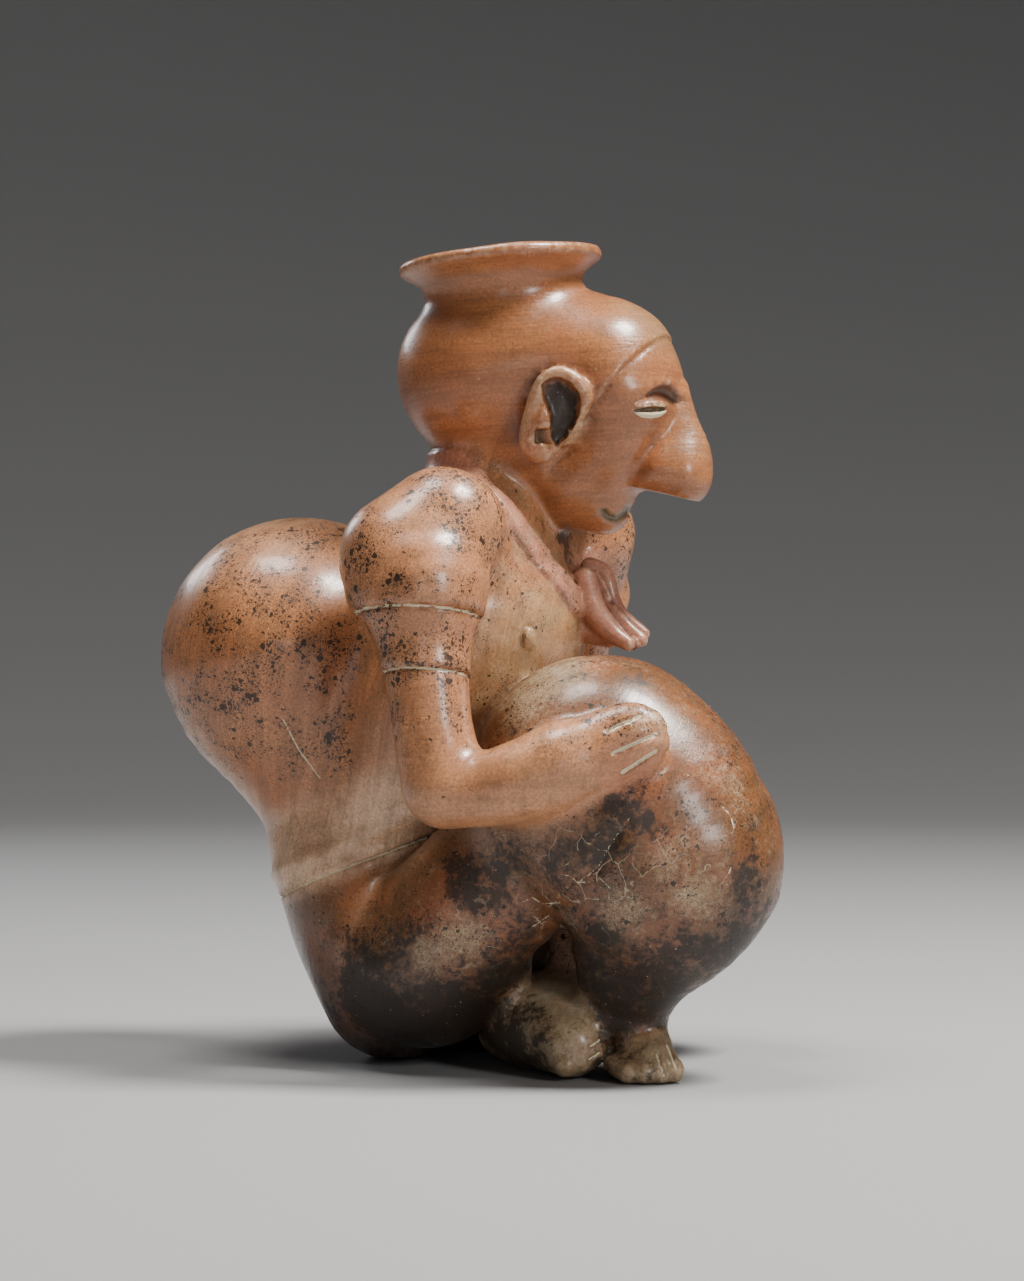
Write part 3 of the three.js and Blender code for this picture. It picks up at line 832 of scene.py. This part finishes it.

# Clouds of soot, and painted shade in both ear hollows, as places, reach and strength
SOOT_AND_EAR_SHADE_CLOUDS = [
    (62, -66, 166, 8, 0.5), (55, -74, 158, 8, 0.4), (41, -79, 142, 8, 0.5), (86, -66, 162, 7, 0.35),
    (86, -88, 110, 15, 0.6), (80, -88, 98, 15, 0.6), (100, -86, 92, 14, 0.5), (96, -86, 104, 12, 0.5),
    (131, -68, 84, 13, 0.6), (128, -56, 62, 20, 0.62), (112, -70, 58, 18, 0.58), (132, -54, 108, 11, 0.45),
    (32, -73, 82, 13, 0.6), (19, -72, 82, 15, 0.65), (60, -82, 92, 14, 0.6), (48, -76, 96, 14, 0.7),
    (78, -76, 62, 16, 0.58), (84, -72, 42, 16, 0.62), (30, -60, 38, 22, 0.7), (58, -72, 76, 8, 0.5),
    (-24, -56, 22, 34, 0.85), (8, -58, 24, 30, 0.85), (-44, -40, 50, 22, 0.75), (-56, -30, 74, 12, 0.5),
    # The two clouds 277 high are painted shade in the ear hollows
    (74, -40, 8, 18, 0.8), (43, -24, 277, 8, 0.9), (43, 41, 277, 8, 0.9), (28, -48, 12, 16, 0.7),
    (44, -58, 10, 12, 0.5),
    (34, 8, 222, 17, 0.9), (38, -12, 228, 10, 0.6), (-96, -10, 120, 26, 0.35),
]
# Hazes of buff deposit, as places, reach and strength
BUFF_HAZES = [
    (52, -62, 168, 22, 0.6), (44, -70, 152, 18, 0.65), (104, -82, 92, 12, 0.65), (114, -80, 80, 12, 0.6),
    (88, -84, 72, 11, 0.55), (14, -69, 56, 13, 0.6), (2, -69, 52, 11, 0.5), (44, -28, 36, 20, 1.0),
    (58, -48, 28, 10, 0.8), (104, -86, 148, 12, 0.5), (30, -36, 160, 26, 0.7), (-30, -44, 96, 18, 0.3),
    (120, -66, 124, 12, 0.4), (40, -88, 112, 12, 0.4), (34, -92, 106, 10, 0.4), (108, -78, 150, 14, 0.4),
]
# Patches that came out orange from the fire
FIRED_ORANGE = [
    (6, -70, 64, 16, 0.8), (70, -60, 168, 8, 0.7), (104, -84, 100, 9, 0.6), (92, -88, 122, 14, 0.6),
    (118, -70, 128, 14, 0.5), (30, -70, 66, 14, 0.5), (20, -20, 190, 9, 0.5), (12, -44, 178, 8, 0.5),
]
# Painted light on the far leg where it shows through the hole between the near thigh and calf
HOLE_LIGHT_PATCHES = [(34, 4, 54, 20, 1.0), (40, 0, 44, 10, 0.8)]
# Where the crossed foot is pale: its own buff, made paler still as painted light where the leg shades it
INSTEP_BUFF_AND_LIGHT = [(48, -38, 34, 12, 0.9), (40, -24, 38, 12, 0.9), (38, -40, 26, 9, 0.6), (60, -50, 28, 8, 0.6)]
# Where rootlets have left pale lines
ROOT_MARKS = [(74, -86, 86, 20, 1), (108, -84, 88, 18, 0.8), (46, -70, 72, 16, 0.9), (50, -70, 62, 12, 0.7),
              (126, -70, 102, 12, 0.6), (66, -84, 70, 14, 0.7), (20, -70, 60, 16, 0.5)]


def blots(p, places):
    """How strongly each point lies in any of the blots."""
    strength = np.zeros(len(p))
    for x, y, z, reach, most in places:
        strength = np.maximum(strength, most * hill(away_from(p, (x, y, z)), reach * 1.6))
    return strength


def shares_of(distances, soft=1.6):
    """How much each zone has of every point, from the points' distances from the zones' forms."""
    stack = np.stack(list(distances.values()))
    weight = np.exp(-np.clip(stack - stack.min(axis=0), 0, 30) / soft)
    return dict(zip(distances, weight / weight.sum(axis=0)))


def zones_of(p):
    return shares_of({
        "head": merge(head_form(p, False), turned(p, MOUTH_OUTSIDE), 9),
        "trunk": bare_trunk(p),
        "arm": np.minimum(arm_form(p, False, False), arm_form(p, True, False)),
        "leg": np.minimum(leg_form(p, False, False), leg_form(p, True, False)),
        "feet": feet_form(p, False),
        "pendant": pendant_form(p),
    })


def laid_over(ground, tint, amount):
    """One colour laid over another."""
    return ground + (tint - ground) * np.clip(amount, 0, 1)[:, None]


def in_ear(beside):
    """How far each point lies in the ear's hollow, from 0 to 1."""
    return (1 - step(-1.5, 0.4, ear_hollow(beside, EAR_OPENING, 0))) * (beside[:, 1] > -31)


def ground_colours(p, zones):
    """The fired slip before specks, soot and deposits, laid on from the zones to the small places, with
    painted shade in the brow and ear hollows and painted light on the hump's top, the waist, the instep and
    the far leg seen through the hole.
    """
    x, z = p[:, 0], p[:, 2]
    beside = head_side(p)
    trunk, head = zones["trunk"], zones["head"]
    back = trunk * (1 - step(-45, -20, x))
    waist = trunk * (1 - step(20, 40, belt_place(p)))
    rim = (1 - step(0, 1.6, round_form(beside, EAR_RIM))) * step(-0.5, 1, ear_hollow(beside, EAR_OPENING, 0))
    ground = sum(zones[name][:, None] * tint for name, tint in ZONE_COLOURS.items())
    for tint, amount in (
            (HUMP_COLOUR, back),
            # Painted light: the hump lighter towards its top
            (HUMP_TOP_LIGHT_COLOUR, back * step(190, 234, z)),
            (FOREARM_COLOUR, zones["arm"] * (1 - step(128, 165, z)) * step(12, 70, x)),
            (CHEST_COLOUR, trunk * step(0, 22, x) * (1 - step(185, 215, z))),
            # The waist's own pale buff, with painted light
            (WAIST_BUFF_AND_LIGHT_COLOUR, waist),
            (PELVIS_COLOUR, waist * (1 - step(-8, 1, belt_place(p)))),
            (COLLAR_COLOUR, trunk * (1 - step(6, 8.5, collar_distance(p)))),
            (CAP_FRONT_COLOUR, head * hill(away_from(beside, CAP_FRONT), 26)),
            (NOSE_COLOUR, head * hill(away_from(beside, NOSE_FRONT), 24)),
            (EAR_COLOUR, 0.6 * rim),
            # Painted shade: the ear's hollow darkened with the cavity colour
            (CAVITY_SHADE_COLOUR, 0.95 * in_ear(beside)),
            # Painted shade: the hollow under the brow darkened with soot black
            (SOOT_AND_SHADE_BLACK, 0.85 * (1 - step(-0.4, 1.6, round_form(beside, BROW_HOLLOW, 1, 5)))),
            (RED_SLIP, blots(p, FIRED_ORANGE)),
            (LOWER_COLOUR, (zones["leg"] + trunk) * (1 - step(20, 92, z - 0.12 * x))),
            # Painted light on the far leg seen through the hole
            (HOLE_LIGHT_COLOUR, blots(p, HOLE_LIGHT_PATCHES)),
            # The instep's own buff, with painted light
            (INSTEP_BUFF_AND_LIGHT_COLOUR, blots(p, INSTEP_BUFF_AND_LIGHT))):
        ground = laid_over(ground, tint, amount)
    return ground


def pale_lines(p):
    """Distance from the edge of the pale deposit that fills the cut lines, negative inside it."""
    beside = head_side(p)
    along, up = eye_place(beside)
    open_by = eye_opening(along)
    edges = [np.maximum(np.abs(up + 2.3 * open_by) - 1.2 * open_by, np.abs(along) - 8.2),
             np.maximum(np.abs(up - 1.9 * open_by) - 0.35, np.abs(along) - 6.5),
             line_across(p, HUMP_SCRATCH) - 0.3,
             np.where((p[:, 0] < 0) & (p[:, 2] < 125) & (np.abs(bare_trunk(p)) < 2.5),
                      np.abs(belt_place(p) + 0.2) - 0.4, FAR_AWAY)]
    for far in (False, True):
        on_arm = np.abs(arm_form(p, far, False)) < 1.6
        for share in ARMBANDS:
            edges.append(np.where(on_arm, np.abs(armband_place(p, far, share) + 0.25) - 0.5, FAR_AWAY))
        hand = far_hand(p) if far else p
        edges += [line_across(hand, line) - 0.75 for line in FINGER_CUTS]
    edges += [line_across(p, line) - 0.15 for line in CRACKS]
    edges += [line_across(p, line) - 0.4 for line in TOE_CUTS]
    return np.minimum.reduce(edges)


def hollows_of(piece, points, edges):
    """How far each point lies in a crease, from 0 to 1, and the same for ridges."""
    bend = ((neighbour_mean(points, edges) - points) * normals_of(piece)).sum(axis=1)
    length = np.linalg.norm(points[edges[:, 0]] - points[edges[:, 1]], axis=1)
    joined = np.maximum(np.bincount(edges.ravel(), minlength=len(points)), 1)
    spacing = np.bincount(edges.ravel(), np.repeat(length, 2), len(points)) / joined
    spacing = neighbour_mean(spacing[:, None], edges)
    curve = bend[:, None] / spacing ** 2
    for _ in range(4):
        curve = neighbour_mean(curve, edges)
    return step(0.015, 0.12, curve[:, 0]), step(0.02, 0.14, -curve[:, 0])


def paint(piece):
    """Writes the slip's colours, painted shade and painted light among them, and the strength of each finish
    to the mesh's points.
    """
    points, edges = points_of(piece), edges_of(piece)
    crease, ridge = hollows_of(piece, points, edges)
    outside = outside_of(piece)
    x, z = points[:, 0], points[:, 2]
    zones = zones_of(points)
    ground = ground_colours(points, zones)
    # Painted shade: the inside of the walls, and the bore the more the deeper it goes, take the dark cavity
    # colour
    ground[~outside] = CAVITY_SHADE_COLOUR
    far_in = 1 - step(-30, -4, mouth_coordinates(points)[1])
    bore = (turned(points, MOUTH_BORE) < 1.5) * far_in
    ground = laid_over(ground, CAVITY_SHADE_COLOUR, bore)
    upper_arm = zones["arm"] * step(122, 160, z)
    hump = zones["trunk"] * (1 - step(-45, -15, x)) * step(105, 135, z)
    chest = zones["trunk"] * step(-5, 15, x)
    low = 1 - step(18, 96, z - 0.1 * x)
    # No soot under the painted light through the hole, nor on the pale instep
    clear = 1 - np.maximum(blots(points, HOLE_LIGHT_PATCHES), blots(points, INSTEP_BUFF_AND_LIGHT))
    below_belt = 1 - step(-6, 2, belt_place(points))
    # Soot strength, with the painted shade of the ear hollows from the clouds
    soot_and_shade_strength = np.maximum(blots(points, SOOT_AND_EAR_SHADE_CLOUDS), (zones["leg"] + zones["trunk"]) * 0.56 * low)
    soot_and_shade_strength += 0.25 * zones["leg"] + 0.4 * zones["feet"]
    hazy = blots(points, BUFF_HAZES)
    beside = head_side(points)
    along, up = eye_place(beside)
    masks = {
        "specks": upper_arm + 0.95 * hump + 0.65 * chest + 0.75 * zones["leg"]
        + 0.7 * zones["trunk"] * below_belt + 0.3 * zones["arm"] * (1 - step(128, 165, z))
        + 0.12 * zones["head"] + 0.15 * zones["pendant"],
        # Soot, with painted shade in the ear hollows
        "soot_and_painted_shade": 0.8 * in_ear(beside) + clear * (1 - 0.8 * hazy) * soot_and_shade_strength,
        "haze": np.maximum(hazy, 0.35 * chest + 0.5 * zones["feet"]) + 0.15 * zones["leg"],
        "roots": blots(points, ROOT_MARKS),
        "pale_edge": 0.25 + pale_lines(points) / 4,
        "olive": zones["head"] * np.maximum(1 - step(1.2, 2.2, line_across(beside, MOUTH_SLIT)),
                                            (1 - step(0.5, 1.1, np.abs(up - 0.1))) * (np.abs(along) < 8.2)),
        "crease": crease,
        "ridge": ridge,
        "polish": zones["head"] + 0.8 * zones["pendant"] + 0.5 * zones["arm"] + 0.35 * zones["leg"],
        "red": 0.8 * zones["pendant"] + 0.5 * (1 - step(6, 8.5, collar_distance(points))) * zones["trunk"],
    }
    rgba = np.ones((len(points), 4), np.float32)
    rgba[:, :3] = ground
    piece.data.attributes.new("ground", "FLOAT_COLOR", "POINT").data.foreach_set("color", rgba.ravel())
    for name, values in masks.items():
        values = np.where(outside, np.clip(values, 0, 1), name == "pale_edge").astype(np.float32)
        piece.data.attributes.new(name, "FLOAT", "POINT").data.foreach_set("value", values)


def add(tree, kind, inputs=None, **settings):
    """Adds a shader node and sets or links its inputs."""
    made = tree.nodes.new("ShaderNode" + kind)
    for name, value in settings.items():
        setattr(made, name, value)
    for socket, value in (inputs or {}).items():
        if isinstance(value, bpy.types.NodeSocket):
            tree.links.new(value, made.inputs[socket])
        else:
            made.inputs[socket].default_value = value
    return made


def maths(tree, operation, first, second=0.0):
    return add(tree, "Math", {0: first, 1: second}, operation=operation).outputs[0]


def times(tree, first, second):
    return maths(tree, "MULTIPLY", first, second)


def plus(tree, first, second):
    return maths(tree, "ADD", first, second)


def minus(tree, first, second):
    return maths(tree, "SUBTRACT", first, second)


def between(tree, value, low, high):
    """Smooth step of a value, as a node."""
    return add(tree, "MapRange", {"Value": value, "From Min": low, "From Max": high},
               interpolation_type="SMOOTHSTEP").outputs["Result"]


def rescaled(tree, value, low, high, new_low, new_high):
    """A value brought from one range to another and kept inside it."""
    return add(tree, "MapRange", {"Value": value, "From Min": low, "From Max": high,
                                  "To Min": new_low, "To Max": new_high}).outputs["Result"]


def noise(tree, place, scale, detail=2.0, roughness=0.5, distortion=0.0):
    return add(tree, "TexNoise", {"Vector": place, "Scale": scale, "Detail": detail, "Roughness": roughness,
                                  "Distortion": distortion}).outputs["Fac"]


def stretched(tree, place, turn, size):
    """Object coordinates turned and squeezed, for marks that run one way."""
    return add(tree, "Mapping", {"Vector": place, "Rotation": turn, "Scale": size}).outputs[0]


def pushed_about(tree, place, scale, detail, most):
    """Coordinates shifted by a noise, for edges and lines that wander."""
    bend = add(tree, "TexNoise", {"Vector": place, "Scale": scale, "Detail": detail}).outputs["Color"]
    bend = add(tree, "VectorMath", {0: bend, "Scale": most}, operation="SCALE").outputs[0]
    return add(tree, "VectorMath", {0: place, 1: bend}, operation="ADD").outputs[0]


def blend(tree, amount, under, upper, kind="MIX"):
    node = add(tree, "Mix", {0: amount, 6: under, 7: upper}, data_type="RGBA", blend_type=kind)
    return node.outputs[2]


def either(tree, amount, first, second):
    """A number that goes from the first to the second."""
    return add(tree, "Mix", {0: amount, 2: first, 3: second}, data_type="FLOAT").outputs[0]


def painted(tree, name):
    return add(tree, "Attribute", attribute_name=name).outputs["Fac"]


def opaque(tint):
    return (*[float(c) for c in tint], 1.0)


def new_group(name, inputs, outputs):
    """A node group with named float sockets, all vectors named Place."""
    group = bpy.data.node_groups.new(name, "ShaderNodeTree")
    for socket in inputs:
        kind = "NodeSocketVector" if socket == "Place" else "NodeSocketFloat"
        group.interface.new_socket(socket, in_out="INPUT", socket_type=kind)
    for socket in outputs:
        group.interface.new_socket(socket, in_out="OUTPUT", socket_type="NodeSocketFloat")
    return group, group.nodes.new("NodeGroupInput"), group.nodes.new("NodeGroupOutput")


def dots(tree, place, scale, crowd, most):
    """Roundish spots of mixed sizes, more and larger ones where they crowd."""
    cells = add(tree, "TexVoronoi", {"Vector": place, "Scale": scale})
    least = minus(tree, 0.88, times(tree, crowd, 0.5))
    size = minus(tree, cells.outputs["Color"], least)
    edge = times(tree, size, most)
    inside = minus(tree, edge, cells.outputs["Distance"])
    return between(tree, inside, 0.0, 0.06)


def speck_group():
    """Manganese: specks in clusters, a fine pepper round them, and grey-blue blotches."""
    group, given, made = new_group("manganese_bloom", ["Place", "Density"], ["Specks", "Pepper", "Blotches"])
    place, density = given.outputs["Place"], given.outputs["Density"]
    cluster = between(group, noise(group, place, 55, 4, 0.65), 0.36, 0.6)
    crowd = times(group, plus(group, times(group, cluster, 0.75), 0.25), density)
    bent = pushed_about(group, place, 700.0, 3.0, 0.0022)
    specks = maths(group, "MAXIMUM", dots(group, bent, 300, crowd, 1.15), dots(group, bent, 620, crowd, 1.3))
    specks = maths(group, "MAXIMUM", specks, dots(group, bent, 1150, crowd, 1.4))
    pepper = between(group, noise(group, place, 1700, 2, 0.6), 0.52, 0.64)
    pepper = times(group, pepper, plus(group, crowd, times(group, density, 0.5)))
    blotch = between(group, noise(group, place, 150, 5, 0.68, 0.6), 0.54, 0.66)
    blotch = times(group, blotch, crowd)
    for name, value in (("Specks", specks), ("Pepper", pepper), ("Blotches", blotch)):
        group.links.new(value, made.inputs[name])
    return group


def stroke_group():
    """Burnishing: long polished strokes side by side."""
    group, given, made = new_group("burnish_strokes", ["Place"], ["Tone", "Height"])
    broad = noise(group, stretched(group, given.outputs["Place"], (0, 0, 0), (22, 22, 210)), 1.0, 3, 0.55)
    fine = noise(group, stretched(group, given.outputs["Place"], (0, 0, 0), (60, 60, 1100)), 1.0, 2, 0.5)
    tone = plus(group, times(group, broad, 0.6), times(group, fine, 0.4))
    group.links.new(tone, made.inputs["Tone"])
    height = plus(group, times(group, broad, 0.5), times(group, fine, 0.5))
    group.links.new(height, made.inputs["Height"])
    return group


def cloud_group():
    """Soot, deposits and the painted shade in the ear hollows: a painted strength broken up into drifting,
    grainy clouds.
    """
    group, given, made = new_group("grainy_clouds", ["Place", "Strength", "Scale", "Grain", "Softness"],
                                   ["Cloud"])
    drift = noise(group, given.outputs["Place"], given.outputs["Scale"], 6, 0.66, 0.5)
    grain = noise(group, given.outputs["Place"], given.outputs["Grain"], 4, 0.7, 0.3)
    both = plus(group, times(group, drift, 0.5), times(group, grain, 0.5))
    both = plus(group, both, times(group, given.outputs["Strength"], 0.36))
    edge = between(group, both, minus(group, 0.72, given.outputs["Softness"]),
                   plus(group, 0.72, given.outputs["Softness"]))
    group.links.new(edge, made.inputs["Cloud"])
    return group


def rootlet_group():
    """Fine pale lines that branch, in broken pieces."""
    group, given, made = new_group("rootlet_lines", ["Place", "Strength"], ["Lines"])
    place = given.outputs["Place"]
    bent = pushed_about(group, place, 130.0, 4.0, 0.009)
    cells = add(group, "TexVoronoi", {"Vector": bent, "Scale": 85.0}, feature="DISTANCE_TO_EDGE")
    line = minus(group, 1.0, between(group, cells.outputs["Distance"], 0.008, 0.022))
    kept = between(group, noise(group, place, 75, 3, 0.6), 0.5, 0.56)
    line = times(group, line, times(group, kept, given.outputs["Strength"]))
    group.links.new(line, made.inputs["Lines"])
    return group


def use_group(tree, group, **inputs):
    node = add(tree, "Group", node_tree=group)
    for socket, value in inputs.items():
        if isinstance(value, bpy.types.NodeSocket):
            tree.links.new(value, node.inputs[socket])
        else:
            node.inputs[socket].default_value = value
    return node.outputs


def fired_slip(tree, place, tone, grain):
    """The slip's own colour with its strokes, its grain and its patches of red and brown."""
    ground = add(tree, "Attribute", attribute_name="ground").outputs["Color"]
    surface = blend(tree, 1.0, ground, rescaled(tree, tone, 0.38, 0.62, 0.78, 1.18), "MULTIPLY")
    surface = blend(tree, 1.0, surface, rescaled(tree, grain, 0.36, 0.64, 0.74, 1.22), "MULTIPLY")
    warm = between(tree, noise(tree, place, 34, 5, 0.68), 0.4, 0.66)
    surface = blend(tree, times(tree, warm, 0.3), surface, opaque(RED_SLIP))
    brown = between(tree, noise(tree, place, 110, 4, 0.68), 0.5, 0.7)
    surface = blend(tree, times(tree, brown, 0.34), surface, opaque(BROWN_SLIP))
    red = times(tree, painted(tree, "red"), between(tree, noise(tree, place, 120, 4, 0.6), 0.4, 0.62))
    return blend(tree, times(tree, red, 0.35), surface, opaque(WINE_SLIP)), brown


def fired_buried_and_shaded(tree, place, surface):
    """Haze, manganese and soot over the slip, with painted shade in the ear hollows, and how dull they leave
    it.
    """
    clouds = cloud_group()
    haze = use_group(tree, clouds, Place=place, Strength=painted(tree, "haze"), Scale=85.0, Grain=500.0,
                     Softness=0.17)["Cloud"]
    surface = blend(tree, times(tree, haze, 0.7), surface, opaque(BUFF))
    manganese = use_group(tree, speck_group(), Place=place, Density=painted(tree, "specks"))
    surface = blend(tree, times(tree, manganese["Blotches"], 0.42), surface, opaque(ASH_BLUE))
    # Soot, with the painted shade in the ear hollows, laid on as dark clouds
    soot_and_painted_shade = use_group(tree, clouds, Place=place, Strength=painted(tree, "soot_and_painted_shade"), Scale=60.0, Grain=260.0,
                     Softness=0.07)["Cloud"]
    surface = blend(tree, times(tree, soot_and_painted_shade, 0.86), surface, opaque(SOOT_AND_SHADE_BLACK))
    surface = blend(tree, times(tree, manganese["Pepper"], 0.7), surface, opaque(MANGANESE))
    surface = blend(tree, times(tree, manganese["Specks"], 0.9), surface, opaque(MANGANESE))
    dull = plus(tree, times(tree, haze, 0.16), times(tree, soot_and_painted_shade, 0.16))
    return surface, plus(tree, dull, times(tree, manganese["Specks"], 0.12))


def shaded_worn_and_filled(tree, place, surface, dull):
    """Painted shade in the creases, rubbed ridges, and the pale deposit in cut lines, cracks and root marks.
    """
    # Painted shade: creases darkened in broken patches
    crease_shade = times(tree, painted(tree, "crease"), between(tree, noise(tree, place, 240, 4, 0.6), 0.3, 0.6))
    surface = blend(tree, times(tree, crease_shade, 0.65), surface, opaque(CREASE_SHADE_COLOUR))
    rubbed = between(tree, noise(tree, place, 300, 4, 0.65), 0.45, 0.62)
    worn = times(tree, painted(tree, "ridge"), rubbed)
    surface = blend(tree, times(tree, worn, 0.45), surface, opaque(WORN_CLAY))
    surface = blend(tree, times(tree, painted(tree, "olive"), 0.8), surface, opaque(MOUTH_OLIVE))
    ragged = times(tree, noise(tree, place, 420, 3, 0.6), 0.16)
    cream = minus(tree, 1.0, between(tree, plus(tree, painted(tree, "pale_edge"), ragged), 0.31, 0.36))
    roots = use_group(tree, rootlet_group(), Place=place, Strength=painted(tree, "roots"))["Lines"]
    cream = maths(tree, "MAXIMUM", cream, times(tree, roots, 0.8))
    surface = blend(tree, times(tree, cream, 0.92), surface, opaque(CREAM))
    flecks = between(tree, noise(tree, place, 900, 1, 0.5), 0.765, 0.79)
    surface = blend(tree, times(tree, flecks, 0.5), surface, opaque(CREAM))
    dull = plus(tree, dull, times(tree, crease_shade, 0.2))
    return surface, plus(tree, dull, times(tree, cream, 0.45))


def burnished_clay():
    """Slip-coated clay, polished before firing, with manganese, fire clouds, buried deposits and painted
    shade in creases and hollows.
    """
    material = bpy.data.materials.new("burnished_clay")
    material.use_nodes = True
    tree = material.node_tree
    shader = tree.nodes["Principled BSDF"]
    place = add(tree, "TexCoord").outputs["Object"]

    strokes = stroke_group()
    level = use_group(tree, strokes, Place=stretched(tree, place, LEVEL_STROKES, (1, 1, 1)))
    upright = use_group(tree, strokes, Place=stretched(tree, place, UPRIGHT_STROKES, (1, 1, 1)))
    polish = painted(tree, "polish")
    tone = either(tree, polish, upright["Tone"], level["Tone"])
    height = either(tree, polish, upright["Height"], level["Height"])
    grain = noise(tree, place, 850, 4, 0.7)

    surface, brown = fired_slip(tree, place, tone, grain)
    surface, dull = fired_buried_and_shaded(tree, place, surface)
    surface, dull = shaded_worn_and_filled(tree, place, surface, dull)
    roughness = plus(tree, rescaled(tree, tone, 0.3, 0.7, 0.42, 0.24), dull)
    roughness = plus(tree, roughness, times(tree, minus(tree, grain, 0.5), 0.3))
    tree.links.new(surface, shader.inputs["Base Color"])
    tree.links.new(roughness, shader.inputs["Roughness"])
    tree.links.new(rescaled(tree, dull, 0.0, 0.3, 0.3, 0.04), shader.inputs["Coat Weight"])
    shader.inputs["Coat Roughness"].default_value = 0.16
    shader.inputs["Specular IOR Level"].default_value = 0.5

    relief = plus(tree, times(tree, height, 0.8), times(tree, grain, 0.32))
    relief = plus(tree, relief, times(tree, brown, 0.2))
    bump = add(tree, "Bump", {"Strength": 0.45, "Distance": 0.0005, "Height": relief})
    tree.links.new(bump.outputs["Normal"], shader.inputs["Normal"])
    return material


def stage():
    """A pale floor that turns up all round into a low wall, with no line between them."""
    bpy.ops.object.select_all(action="DESELECT")
    bpy.ops.mesh.primitive_cylinder_add(vertices=96, radius=4.6, depth=3.0, location=(0, 0, 1.5))
    floor = bpy.context.active_object
    floor.name = "floor"
    bpy.ops.object.transform_apply(location=True, rotation=True, scale=True)
    bpy.ops.object.mode_set(mode="EDIT")
    bpy.ops.mesh.select_mode(type="FACE")
    bpy.ops.mesh.select_all(action="DESELECT")
    bpy.ops.object.mode_set(mode="OBJECT")
    for face in floor.data.polygons:
        face.select = face.center.z > 2.9
    bpy.ops.object.mode_set(mode="EDIT")
    bpy.ops.mesh.delete(type="FACE")
    bpy.ops.mesh.select_mode(type="EDGE")
    bpy.ops.object.mode_set(mode="OBJECT")
    for edge in floor.data.edges:
        edge.select = all(floor.data.vertices[v].co.z < 0.01 for v in edge.vertices)
    bpy.ops.object.mode_set(mode="EDIT")
    bpy.ops.mesh.bevel(offset=2.6, segments=28, affect="EDGES")
    bpy.ops.mesh.select_all(action="SELECT")
    bpy.ops.mesh.flip_normals()
    bpy.ops.object.mode_set(mode="OBJECT")
    bpy.ops.object.shade_smooth()
    coat = bpy.data.materials.new("floor_paint")
    coat.use_nodes = True
    coat.node_tree.nodes["Principled BSDF"].inputs["Base Color"].default_value = (0.36, 0.36, 0.365, 1)
    coat.node_tree.nodes["Principled BSDF"].inputs["Roughness"].default_value = 0.75
    floor.data.materials.append(coat)
    world = bpy.data.worlds.new("studio")
    world.use_nodes = True
    world.node_tree.nodes["Background"].inputs[0].default_value = (0.55, 0.57, 0.6, 1)
    world.node_tree.nodes["Background"].inputs[1].default_value = 0.06
    bpy.context.scene.world = world


def area_light(name, place, size, power, aim=(0, 0, 0.16), tint=(1, 1, 1)):
    bpy.ops.object.light_add(type="AREA", location=place)
    light = bpy.context.active_object
    light.name = name
    light.data.size = size
    light.data.energy = power
    light.data.color = tint
    light.rotation_mode = "QUATERNION"
    light.rotation_quaternion = (Vector(aim) - Vector(place)).to_track_quat("-Z", "Y")


def camera():
    azimuth = math.radians(15)
    back = Vector((math.sin(azimuth), -math.cos(azimuth), 0))
    right = Vector((math.cos(azimuth), math.sin(azimuth), 0))
    place = Vector((-FIGURE_MIDDLE[0] * MM, 0, 0.180)) + back * 1.5 + right * 0.01676
    bpy.ops.object.camera_add(location=place)
    cam = bpy.context.active_object
    cam.data.sensor_width = 36
    cam.data.lens = 98.08
    cam.rotation_mode = "QUATERNION"
    cam.rotation_quaternion = (-back).to_track_quat("-Z", "Y")
    bpy.context.scene.camera = cam


figure = clay_figure()
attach(figure, "root")
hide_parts("hunchback_vessel")
paint(figure)
figure.data.materials.append(burnished_clay())

stage()
area_light("key", (0.8, 0.0, 1.6), 0.45, 62, tint=(1, 0.97, 0.93))
area_light("top", (-0.35, -0.1, 1.8), 0.6, 22, tint=(1, 0.98, 0.95))
area_light("front", (1.5, -1.15, 0.7), 0.4, 12, tint=(1, 0.98, 0.95))
area_light("rim", (-1.3, 1.0, 0.9), 0.4, 4, tint=(0.93, 0.96, 1))
area_light("fill", (0.64, -2.38, 0.35), 0.7, 3.0)
camera()
